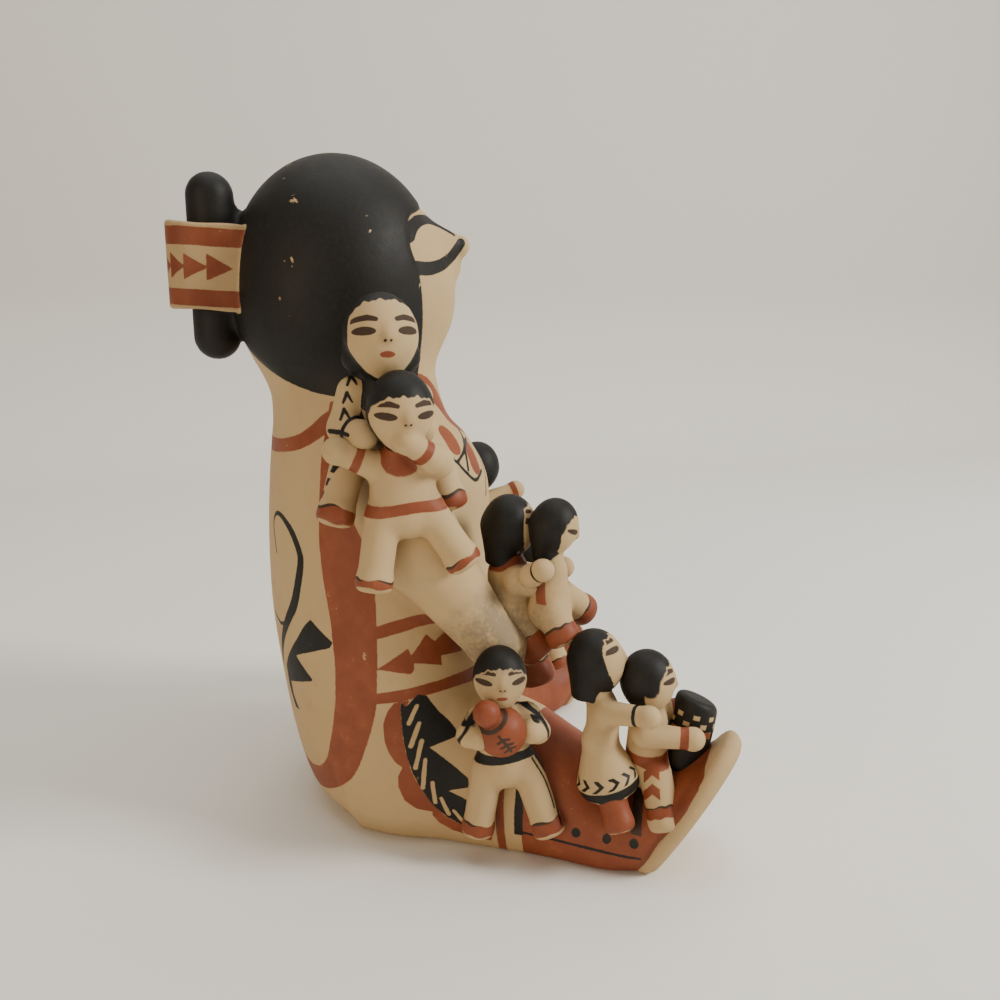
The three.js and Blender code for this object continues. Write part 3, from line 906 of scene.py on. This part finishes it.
def paint_limbs(places, who, parts, slip):
    """Cuffs, and shoes or stockings with pale soles."""
    for path, form in zip(who.arms, parts.arms):
        if who.cuff:
            past = limb_frame(places, path)
            slip.add(who.cuff, np.abs(past + who.cuff_place) - who.cuff_half, alone(form, parts))
    across, ahead = places[:, 0], places[:, 1]
    ragged = 0.012 * np.sin(across * 21 + 2) + 0.01 * np.sin(ahead * 33)
    broken = 0.012 + 0.012 * np.sin(across * 9 + ahead * 7)
    sole = who.leg_width * who.sole_line
    for path, form in zip(who.legs, parts.legs):
        past = limb_frame(places, path)
        clear = alone(form, parts)
        slip.add("red", who.shoe_top - past + ragged, past - sole + ragged, clear)
        slip.add("brown", np.abs(past - who.shoe_top - ragged) - broken, clear)


def paint_child(points, who):
    """A child's slip, worked out in head heights and given in millimetres."""
    places = points / who.size
    across, ahead, up = places.T
    parts = child_parts(points, who)
    slip = Slip(points)
    paint_face(places, who, parts, slip)
    paint_limbs(places, who, parts, slip)
    if who.collar:
        near_neck = length(places - who.neck - (0, 0.02, -0.04)) - who.collar_reach
        slip.add(who.collar, near_neck, parts.dressed)
    if who.belt:
        name, height, half = who.belt
        wave = 0.015 * np.sin(across * 7 + 1)
        slip.add(name, np.abs(up - height - wave - 0.08 * across) - half, parts.dressed)
    if who.extra:
        who.extra(places, who, parts, slip)
    return slip.marks(who.size)


def paint_big_girl(places, who, parts, slip):
    """Arrow marks down her sleeve, its black edge, and dashes down one trouser leg."""
    across, ahead, up = places.T
    sleeve = alone(parts.arms[0], parts)
    for left, rise in ((-0.51, 1.09), (-0.57, 0.89), (-0.61, 0.71)):
        mark = [(left - 0.05, rise - 0.06), (left, rise + 0.05), (left + 0.055, rise - 0.05)]
        slip.add("black", stroke(across, up, mark, (0.014, 0.022, 0.012)), sleeve)
    edge = stroke(across, up, [(-0.78, 0.51), (-0.69, 0.51), (-0.6, 0.5)], (0.03, 0.03, 0.025))
    slip.add("black", edge, least(sleeve, parts.dressed))
    dashes = np.abs(np.mod(up, 0.15) - 0.05) - 0.045
    slip.add("black", dashes, np.abs(ahead - 0.3) - 0.035, across + 0.6, alone(parts.legs[0], parts))


def paint_front_rider(places, who, parts, slip):
    """A short red stripe down one side of the shirt."""
    across, ahead, up = places.T
    slip.add("red", np.abs(ahead + 0.22) - 0.075, np.abs(up - 0.385) - 0.2, across, parts.dressed)


def paint_jar_child(places, who, parts, slip):
    """The black edges of the jar child's sleeves and trousers."""
    across, ahead, up = places.T
    lines = (
        ([(-0.3, 1.06), (-0.52, 0.98), (-0.7, 0.8), (-0.8, 0.62), (-0.76, 0.46)],
         (0.03, 0.03, 0.02, 0.02, 0.016)),
        ([(-0.76, 0.84), (-0.6, 0.88), (-0.46, 0.93)], (0.02, 0.025, 0.02)),
        ([(0.12, 1.08), (0.32, 1.0), (0.5, 0.84), (0.58, 0.68), (0.58, 0.56)],
         (0.03, 0.035, 0.026, 0.022, 0.016)),
        ([(0.34, 0.9), (0.44, 0.87), (0.52, 0.9)], (0.016, 0.022, 0.016)),
        ([(0.43, 0.21), (0.6, -0.1), (0.69, -0.31), (0.77, -0.84)], (0.03, 0.02, 0.02, 0.018)),
        ([(0.37, 0.16), (0.53, -0.12), (0.62, -0.36), (0.68, -0.6)], (0.018, 0.014, 0.012, 0.01)),
    )
    front = within(0.05 - ahead, -alone(parts.skull, parts))
    for line, widths in lines:
        slip.add("black", stroke(across, up, smooth_line(line), widths), front)


def paint_dress(places, who, parts, slip):
    """A black hem with a row of arrow marks above it."""
    across, ahead, up = places.T
    on_skirt = alone(parts.skirt, parts)
    rise = hem_rise(places, who)
    slip.add("black", np.abs(rise - 0.13) - 0.085, on_skirt)
    around = np.arctan2(ahead - who.skirt[1], across - who.skirt[0]) * 0.5
    spot = np.mod(around + 0.05, 0.24) - 0.12
    tick = np.abs(spot - 1.3 * np.abs(rise - 0.33) + 0.05) - 0.042
    slip.add("black", tick, np.abs(rise - 0.33) - 0.09, on_skirt)


def paint_drummer(places, who, parts, slip):
    """Red arrow heads down one trouser leg."""
    past = limb_frame(places, who.legs[0])
    beside = np.abs(places[:, 1] - 0.02)
    for rise in (-0.6, -0.92):
        head_mark = np.abs(past - rise - 0.9 * beside) - 0.09
        slip.add("red", head_mark, beside - 0.13, alone(parts.legs[0], parts))


arms_down = both((0.36, 0.06, 0.7), (0.46, 0.36, 0.3))
legs_forward = both((0.3, 0.3, -0.1), (0.42, 0.5, -0.8))
jar_hips = on_leg(-1, 15.4, 9.6, 15.3)
drum_hips = on_leg(-1, 34.2, 2.8, 14.6)
all_stocking = -9.0

children = [
    child("big_girl", at(-22.1, 0.2, 57.4), 90, big_girl_head, (-0.2, 0.15, 1), (-0.15, 0.28, 1.57),
          [[(-0.56, 0.12, 0.1), (-0.75, 0.36, -0.5)], [(0.5, 0.05, 0.05), (0.63, 0.2, -0.42)]],
          [[(-0.48, 0.15, 0.92), (-0.62, 0.27, 0.52), (-0.43, 0.56, 0.47)],
           [(0.26, 0.1, 0.84), (0.26, 0.4, 0.5)]],
          gaze=(-4, -14, 0), window=(0, -0.08, 0.41, 0.45), cuff="black", cuff_half=0.035, cuff_place=0.15,
          shoe_top=-0.06, locks=True, collar="black", hand_width=0.185, leg_width=0.205,
          extra=paint_big_girl),
    child("baby", at(-28, 0.8, 52.4), 90, child_head, (-0.07, 0.1, 0.84), (-0.07, 0.26, 1.5),
          [[(-0.34, 0.08, -0.06), (-0.5, 0.28, -0.96)], [(0.34, 0.08, 0), (0.8, 0.22, -0.7)]],
          [[(-0.4, 0.1, 0.7), (-0.97, 0.11, 0.95)],
           [(0.5, 0.05, 0.7), (0.36, 0.38, 0.84), (-0.03, 0.56, 1.14)]],
          gaze=(-6, -1, 0), crown=1.12, girth=1.32, window=(0, -0.2, 0.44, 0.42), cuff="red", cuff_half=0.065,
          cuff_place=0.31, shoe_top=-0.03, sole_line=0.3, collar="red", belt=("red", 0.12, 0.085),
          leg_width=0.25, hand_width=0.2, lift=-0.02),
    child("back_rider", at(-20.6, 16.8, 35), 0, child_head, (0.06, -0.06, 0.82), (0.06, -0.04, 1.42),
          [[(-0.12, 0.1, -0.1), (-0.25, 0.36, -0.52)], [(0, 0.3, -0.7), (-0.12, 0.4, -1.06)]],
          [[(-0.3, 0.02, 0.62), (-0.34, 0.4, 0.5)], [(0.36, 0.02, 0.62), (0.3, 0.4, 0.5)]],
          gaze=(20, 0, 0), window=(0, -0.1, 0.4, 0.47), collar="red", bob=True, leg_width=0.27,
          hairline=0.27, lift=0.15, collar_reach=0.34, shoe_top=-0.24, sole_line=1.2),
    child("front_rider", at(-24.2, 21.4, 36.4), 0, small_child_head, (0, 0.02, 0.9), (0.06, 0.08, 1.5),
          [[(-0.16, 0, 0), (-0.34, 0.16, -0.4)], [(0.26, 0.28, 0.16), (0.5, 0.75, -0.22)]],
          [[(-0.2, -0.4, 0.7), (-0.5, -0.26, 0.88)], [(0.3, 0.04, 0.74), (0.34, 0.34, 0.66)]],
          gaze=(14, 12, -8), girth=0.9, chest=0.28, brow=0, window=(0, -0.16, 0.4, 0.45), cuff="black",
          cuff_half=0.03, cuff_place=0.08, shoe_top=-0.16, hairline=0.15, hand_width=0.2, leg_width=0.28,
          bob=True, extra=paint_front_rider),
    child("jar_child", jar_hips, 90, child_head, (-0.06, 0.06, 0.94), (-0.13, 0.18, 1.5),
          [[(-0.3, 0.04, -0.06), (-0.44, 0, -1.06)], [(0.32, 0.12, -0.06), (0.6, 0.42, -0.96)]],
          [[(-0.42, 0.1, 0.84), (-0.62, 0.28, 0.66), (-0.5, 0.44, 0.68)],
           [(0.32, 0.1, 0.82), (0.45, 0.28, 0.62), (0.32, 0.44, 0.7)]],
          gaze=(6, -12, 0), crown=0.97, girth=1.12, window=(0, -0.26, 0.46, 0.46), shoe_top=-0.14,
          sole_line=0.25, belt=("black", 0.24, 0.08), slant=0.22, eye_place=0.275, leg_width=0.24,
          hand_width=0.19, extra=paint_jar_child),
    child("dress_child", on_leg(-1, 29, 5.4, 15.2), 12, child_head, (0.04, -0.06, 1.06), (0.08, -0.18, 1.7),
          [[(-0.34, 0.04, -0.3), (-0.53, 0.16, -0.72)]],
          [[(-0.16, -0.04, 0.95), (-0.54, 0.57, 1.04)]],
          gaze=(4, -18, 0), skirt=(-0.1, 0.02, -0.16), waist=(-0.06, -0.13, 0.45), seat=0.22, chest=0.22,
          window=(0, -0.1, 0.41, 0.48), cuff="black", cuff_half=0.03, cuff_place=0.2, shoe_top=all_stocking,
          bob=True, leg_width=0.22, hairline=0.16, hand_width=0.175, lift=0.18, brow=1.3, extra=paint_dress),
    child("drummer", drum_hips, 12, small_child_head, (0.04, 0.02, 1.12), (0.02, -0.02, 1.61),
          [[(-0.3, 0.12, 0), (-0.62, 0.26, -0.74)]],
          [[(-0.3, -0.1, 0.74), (-0.41, 0.74, 0.71)], [(0.3, 0.02, 0.92), (0.34, 0.7, 0.96)]],
          gaze=(3, -6, 0), crown=1.12, window=(0, -0.16, 0.41, 0.46), cuff="red", cuff_half=0.075,
          cuff_place=0.16, shoe_top=-0.26, sole_line=-0.3, belt=("red", 0.3, 0.09), hairline=-0.08,
          leg_width=0.28, lift=0.07, brow=1.2, extra=paint_drummer),
    child("shoulder_child", at(21.6, 0.6, 58.4), -90, child_head, (0, 0, 0.9), (0, 0.1, 1.5),
          legs_forward, arms_down, gaze=(0, -8, 0), cuff="red", collar="red"),
    child("reaching_child", at(17, 16.4, 35.4), 0, child_head, (-0.16, 0.31, 1.02), (-0.16, 0.25, 1.58),
          legs_forward, [[(-0.48, 0.35, 0.96), (-0.44, 0.95, 1.16)], [(0.18, 0.34, 0.88), (0.4, 0.56, 0.42)]],
          gaze=(-48, 0, 0), cuff="red", cuff_half=0.055, cuff_place=0.05, bob=True, hairline=0.2,
          hand_width=0.18),
    child("skirt_child", on_leg(1, 15.4, 9.6, 15.3), -90, child_head, (0, 0.1, 0.88), (0, 0.24, 1.5),
          both((0.26, 0.05, -0.1), (0.4, 0.12, -1.04)), arms_down, gaze=(0, 4, 0),
          window=(0, -0.22, 0.4, 0.45), cuff="black", belt=("black", 0.2, 0.09)),
    child("boot_child", on_leg(1, 27, -3, 17.6), -10, small_child_head, (0, 0, 0.94), (0, 0.06, 1.54),
          [[(-0.3, 0.2, -0.1), (-0.5, 0.46, -0.92)], [(0.36, 0.2, -0.1), (0.66, 0.5, -0.5)]], arms_down,
          cuff="red", collar="red", bob=True),
]


def child_place(who):
    """How a child's own frame is turned and set on the mother."""
    left, ahead, up = np.eye(3)
    turn = np.stack([*swing(left, ahead, who.facing), up])
    return lambda points: points @ turn + who.hips


def make_child(who):
    """One child as a painted mesh."""
    reach = [who.face] + [place for path in who.legs + who.arms for place in path]
    if who.skirt:
        reach.append(who.skirt)
    low = (np.minimum(np.min(reach, 0), (-0.2, -0.1, -0.1)) - 0.6) * who.size
    high = (np.maximum(np.max(reach, 0), (0.2, 0.1, 0.1)) + 0.62) * who.size
    return make_piece(who.name, lambda points: child_form(points, who),
                      lambda points: paint_child(points, who), low, high, place=child_place(who))


# What the children hold

jar_centre = jar_hips + np.array([-0.44, -0.15, 0.74]) * child_head
stopper_way = np.array([-0.33, -0.46, 0.68])
stopper_way = stopper_way / np.linalg.norm(stopper_way)
stopper_centre = jar_centre + stopper_way * (jar_radius + stopper_radius - stopper_sunk)
drum_centre = drum_hips + np.array([0.06, 0.82, 0.52]) * small_child_head
drum_lean = math.radians(12)
drum_squares = 8
drum_rows = ((6.6, 0.1), (4.4, 0.6))
# The jar's strokes, with the half width at the end of each
jar_strokes = (
    ([(-2, 1.4), (0, -1), (1.4, -3.2)], 0.36),
    ([(-2.2, -0.5), (-0.8, 0.5), (0.6, 0.6)], 0.34),
    ([(-1.3, -1.9), (0.1, -0.9), (1.7, -0.7)], 0.36),
    ([(-0.3, -3.3), (1, -2.1), (2.4, -1.9)], 0.36),
)


def jar(points):
    """A round jar with a round stopper."""
    belly = egg(points, jar_centre, (jar_radius * 0.96, jar_radius * 1.03, jar_radius * 1.05))
    stopper = egg(points, stopper_centre, (stopper_radius,) * 3)
    return blend(belly, stopper, 1.0)


def paint_jar(points):
    """Red slip all over, a dark ring below the stopper and a few dark strokes on the belly."""
    offset = points - jar_centre
    slip = Slip(points)
    slip.add("red", np.full(len(points), -paint_reach))
    slip.add("brown", np.abs(offset @ stopper_way - jar_radius + 1.0) - 0.33)
    for line, end_width in jar_strokes:
        slip.add("brown", stroke(offset[:, 1], offset[:, 2], line, (0.34, 0.42, end_width)))
    return slip.marks()


def drum_frame(points):
    """Places on the drum, whose top leans a little forward."""
    across, along, up = (points - drum_centre).T
    up, along = swing(up, along, drum_lean)
    return across, along, up


def drum(points):
    """An upright drum, a little fuller at the middle, with soft rims."""
    across, along, up = drum_frame(points)
    radius = drum_radius * (1.06 - 0.08 * (up / drum_height * 2) ** 2)
    wall = np.sqrt(across ** 2 + along ** 2) - radius
    slope = 0.2 * along * np.sign(up)
    return trim(wall, np.abs(up) + slope - drum_height / 2, 2.2)


def paint_drum(points):
    """Black slip all over, but for two rows of small pale squares and a red row below them."""
    across, along, up = drum_frame(points)
    around = np.arctan2(along, across) * drum_radius
    spacing = 2 * math.pi * drum_radius / drum_squares
    side = drum_radius - 1 - np.sqrt(across ** 2 + along ** 2)
    squares = []
    for row, shift in drum_rows:
        beside = np.mod(around + shift * spacing, spacing) - spacing / 2
        squares.append(within(np.abs(beside) - 0.85, np.abs(up - row) - 0.62))
    red = within(np.abs(np.mod(around, spacing) - spacing / 2) - 1.3, np.abs(up - 2.0) - 0.9, side)
    slip = Slip(points)
    slip.add("red", red)
    slip.add("black", -within(least(*squares), side), -red)
    return slip.marks()


# The finish: pale clay with red, black and brown slip, a little worn and stained; creases get painted shade

class Wire:
    """A socket of the clay's node tree, which can be used in sums."""

    tree = None

    def __init__(self, socket):
        self.socket = socket

    @classmethod
    def node(cls, kind, settings, inputs, output=0):
        """Adds one node: its settings first, then the values and links of its sockets."""
        made = cls.tree.nodes.new(kind)
        for name, value in settings.items():
            setattr(made, name, value)
        for key, value in inputs.items():
            if isinstance(value, Wire):
                cls.tree.links.new(value.socket, made.inputs[key])
            else:
                made.inputs[key].default_value = value
        return cls(made.outputs[output])

    def math(self, operation, one, other, clamp=False):
        """One Math node."""
        return self.node("ShaderNodeMath", {"operation": operation, "use_clamp": clamp}, {0: one, 1: other})

    def __add__(self, other):
        return self.math("ADD", self, other)

    __radd__ = __add__

    def __mul__(self, other):
        return self.math("MULTIPLY", self, other)

    __rmul__ = __mul__

    def __sub__(self, other):
        return self.math("SUBTRACT", self, other)

    def __rsub__(self, other):
        return self.math("SUBTRACT", other, self)

    def clamped(self):
        """The same value, kept between 0 and 1."""
        return self.math("ADD", self, 0.0, True)


def noise(place, scale, detail=2.0, roughness=0.5):
    """Soft random mottling, from 0 to 1."""
    return Wire.node("ShaderNodeTexNoise", {"noise_dimensions": "3D"},
                     {"Vector": place, "Scale": scale, "Detail": detail, "Roughness": roughness})


def tint(share, one, other, way="MIX"):
    """Mixes two colours, each a socket or its red, green and blue."""
    one, other = (shade if isinstance(shade, Wire) else (*shade, 1.0) for shade in (one, other))
    settings = {"data_type": "RGBA", "blend_type": way}
    return Wire.node("ShaderNodeMix", settings, {0: share, 6: one, 7: other}, 2)


def attribute(name):
    """A value that the mesh has at each of its points."""
    return Wire.node("ShaderNodeAttribute", {"attribute_name": name}, {}, 2)


def slip_mask(name, wobble, sharpness=5.0):
    """Where one slip lies, from its distance attribute and the hand's wobble."""
    return (0.5 - (attribute(name) + wobble) * sharpness).clamped()


def new_material(name):
    """A material with its shader, and the places on the piece that it is put on."""
    material = bpy.data.materials.new(name)
    material.use_nodes = True
    Wire.tree = material.node_tree
    place = Wire.node("ShaderNodeTexCoord", {}, {}, 3)
    return material, Wire.tree.nodes["Principled BSDF"].inputs, place


def painted_clay():
    """The one finish of the figure."""
    wrist_stain = (-0.049, -0.026, 0.0625)
    material, shader, place = new_material("painted_clay")
    broad = noise(place, 28.0, 2.0)
    middle = noise(place, 150.0, 3.0, 0.55)
    fine = noise(place, 900.0, 3.0, 0.6)
    grain = noise(place, 3600.0, 2.0, 0.7)
    wobble = (middle - 0.5) * 0.36 + (fine - 0.5) * 0.3
    red = slip_mask("red", wobble)
    black = slip_mask("black", wobble)
    brown = slip_mask("brown", (fine - 0.5) * 0.16, 7.0)
    # How deep each point lies in a crease or between pieces, for the painted shade and dirt below
    hollow = attribute("hollow")
    chip = ((noise(place, 420.0, 2.0) - 0.665) * 22.0).clamped() * ((middle - 0.6) * 16.0).clamped()
    wear = ((fine * 0.6 + middle * 0.4 - 0.60) * 9.0).clamped()

    cream = tint(broad, (0.46, 0.308, 0.146), (0.53, 0.39, 0.206))
    stain = ((middle - 0.56) * 4.0).clamped() * 0.22
    cream = tint(stain, cream, (0.33, 0.208, 0.098))
    cream = tint((grain - 0.35).clamped() * 0.16, cream, (0.32, 0.22, 0.12))
    wrist_gap = Wire.node("ShaderNodeVectorMath", {"operation": "DISTANCE"}, {0: place, 1: wrist_stain}, 1)
    soot = ((1.0 - wrist_gap * 54.0).clamped() * (fine * 0.9 + middle * 1.2 - 0.75) * 5.0).clamped() * 0.6
    cream = tint(soot, cream, (0.15, 0.12, 0.085))
    red_slip = tint(((middle - 0.35) * 2.2).clamped(), (0.205, 0.048, 0.018), (0.275, 0.075, 0.029))
    red_slip = tint(wear * 0.35, red_slip, (0.40, 0.18, 0.09))
    dark, less_dark = (0.0055, 0.0050, 0.0038), (0.0125, 0.0112, 0.0082)
    black_slip = tint(((fine - 0.4) * 2.0).clamped(), dark, less_dark)
    brown_slip = tint(fine, (0.030, 0.017, 0.009), (0.062, 0.034, 0.019))
    base = tint(red * (1.0 - chip), cream, red_slip)
    base = tint(brown, base, brown_slip)
    base = tint(black * (1.0 - chip), base, black_slip)
    # Painted shade, with some dirt: the colour is darkened in creases and where the pieces meet
    base = tint(hollow * 0.55, base, tint(1.0, base, (0.42, 0.33, 0.25), "MULTIPLY"))
    rough = 0.70 - red * 0.16 - black * 0.12 + (middle - 0.5) * 0.16 + (fine - 0.5) * 0.14
    height = fine * 0.5 + grain * 0.22 + middle * 0.9 + black * 0.15 + red * 0.12 - chip * 0.4
    bump = Wire.node("ShaderNodeBump", {}, {"Strength": 0.32, "Distance": 0.00028, "Height": height})
    for name, value in (("Base Color", base), ("Roughness", rough), ("Normal", bump)):
        Wire.tree.links.new(value.socket, shader[name])
    shader["Specular IOR Level"].default_value = 0.3
    return material


def pale_sheet():
    """The pale sheet's matt finish, with painted shade: a little darker where it rises behind the figure."""
    material, shader, place = new_material("pale_sheet")
    # Painted shade: the same pale sheet is given a darker colour as it rises into the backdrop
    rise = (Wire.node("ShaderNodeSeparateXYZ", {}, {0: place}, 2) * 7.0).clamped()
    base = tint(rise, (0.86, 0.845, 0.785), (0.70, 0.68, 0.635))
    base = tint(noise(place, 3.0) * 0.06, base, (0.5, 0.47, 0.42))
    Wire.tree.links.new(base.socket, shader["Base Color"])
    shader["Roughness"].default_value = 0.85
    return material


# The stage: a pale floor that rises softly into a pale backdrop, soft lights, and the camera

def sweep():
    """One pale sheet: the floor, and a backdrop that rises behind the figure."""
    near = -1.6
    bend_start = 0.50
    bend_radius = 0.16
    bend_steps = 16
    top = 1.5
    half_width = 2.2
    just_below = 0.00002
    profile = [(near, 0.0), (bend_start, 0.0)]
    for step in range(1, bend_steps + 1):
        angle = step / bend_steps * math.pi / 2
        profile.append((bend_start + bend_radius * math.sin(angle), bend_radius * (1 - math.cos(angle))))
    profile.append((bend_start + bend_radius, top))
    points = [(x, y, z - just_below) for y in (-half_width, half_width) for x, z in profile]
    count = len(profile)
    faces = [(index, index + 1, count + index + 1, count + index) for index in range(count - 1)]
    mesh = bpy.data.meshes.new("sweep")
    mesh.from_pydata(points, [], faces)
    mesh.polygons.foreach_set("use_smooth", [True] * len(faces))
    mesh.materials.append(pale_sheet())
    floor = add_object("sweep", mesh)


def soft_light(name, place, size, power, shade, target=(0, 0, 0.08)):
    """A square soft light aimed at the middle of the figure."""
    data = bpy.data.lights.new(name, "AREA")
    data.size = size
    data.energy = power
    data.color = shade
    light = add_object(name, data)
    light.location = place
    light.rotation_euler = (Vector(target) - Vector(place)).to_track_quat("-Z", "Y").to_euler()


def studio():
    """Soft light from high in front of the figure, a wide soft top light, and a faint warm light behind."""
    soft_light("key", (-0.42, -0.86, 0.62), 0.3, 11.6, (1.0, 0.97, 0.92))
    soft_light("top", (0.05, -0.1, 1.25), 1.2, 9.4, (0.98, 0.985, 0.985))
    soft_light("warm_back", (-0.75, 0.75, 0.32), 0.5, 4.0, (1.0, 0.78, 0.54))
    world = bpy.context.scene.world or bpy.data.worlds.new("studio")
    bpy.context.scene.world = world
    world.use_nodes = True
    background = world.node_tree.nodes["Background"].inputs
    background[0].default_value = (0.92, 0.85, 0.76, 1)
    background[1].default_value = 0.25


def camera():
    """The photographer's view: from her right side, a little behind, looking slightly down."""
    data = bpy.data.cameras.new("camera")
    data.lens = 36
    data.sensor_width = 36
    data.sensor_fit = "HORIZONTAL"
    data.clip_start = 0.01
    right, back = 0.978, -0.208
    drop = math.radians(12.5)
    ahead = Vector((right * math.cos(drop), back * math.cos(drop), -math.sin(drop)))
    seen = add_object("camera", data)
    seen.location = (-0.294, 0.0257, 0.156)
    seen.rotation_euler = ahead.to_track_quat("-Z", "Y").to_euler()
    bpy.context.scene.camera = seen


def dress_storyteller():
    """Every piece of the figure, painted and put in place of the plain solid."""
    clay = painted_clay()
    mother_box = ((-80, -60, -2.6), (80, 95, 192))
    jar_reach = jar_radius * 2.6
    drum_reach = np.array([8.0, 8.0, 13.0])
    pieces = [make_piece("mother", mother, paint_mother, *mother_box, mother_pitch, mother_finest)]
    pieces += [make_child(who) for who in children]
    pieces.append(make_piece("jar", jar, paint_jar, jar_centre - jar_reach, jar_centre + jar_reach))
    pieces.append(make_piece("drum", drum, paint_drum, drum_centre - drum_reach, drum_centre + drum_reach))
    for piece in pieces:
        piece.data.materials.append(clay)
        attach(piece, "root")
        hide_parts("storyteller")


camera()
sweep()
studio()
dress_storyteller()


def corners(box):
    """A box as plain lists of numbers."""
    return [[float(value) for value in corner] for corner in box]
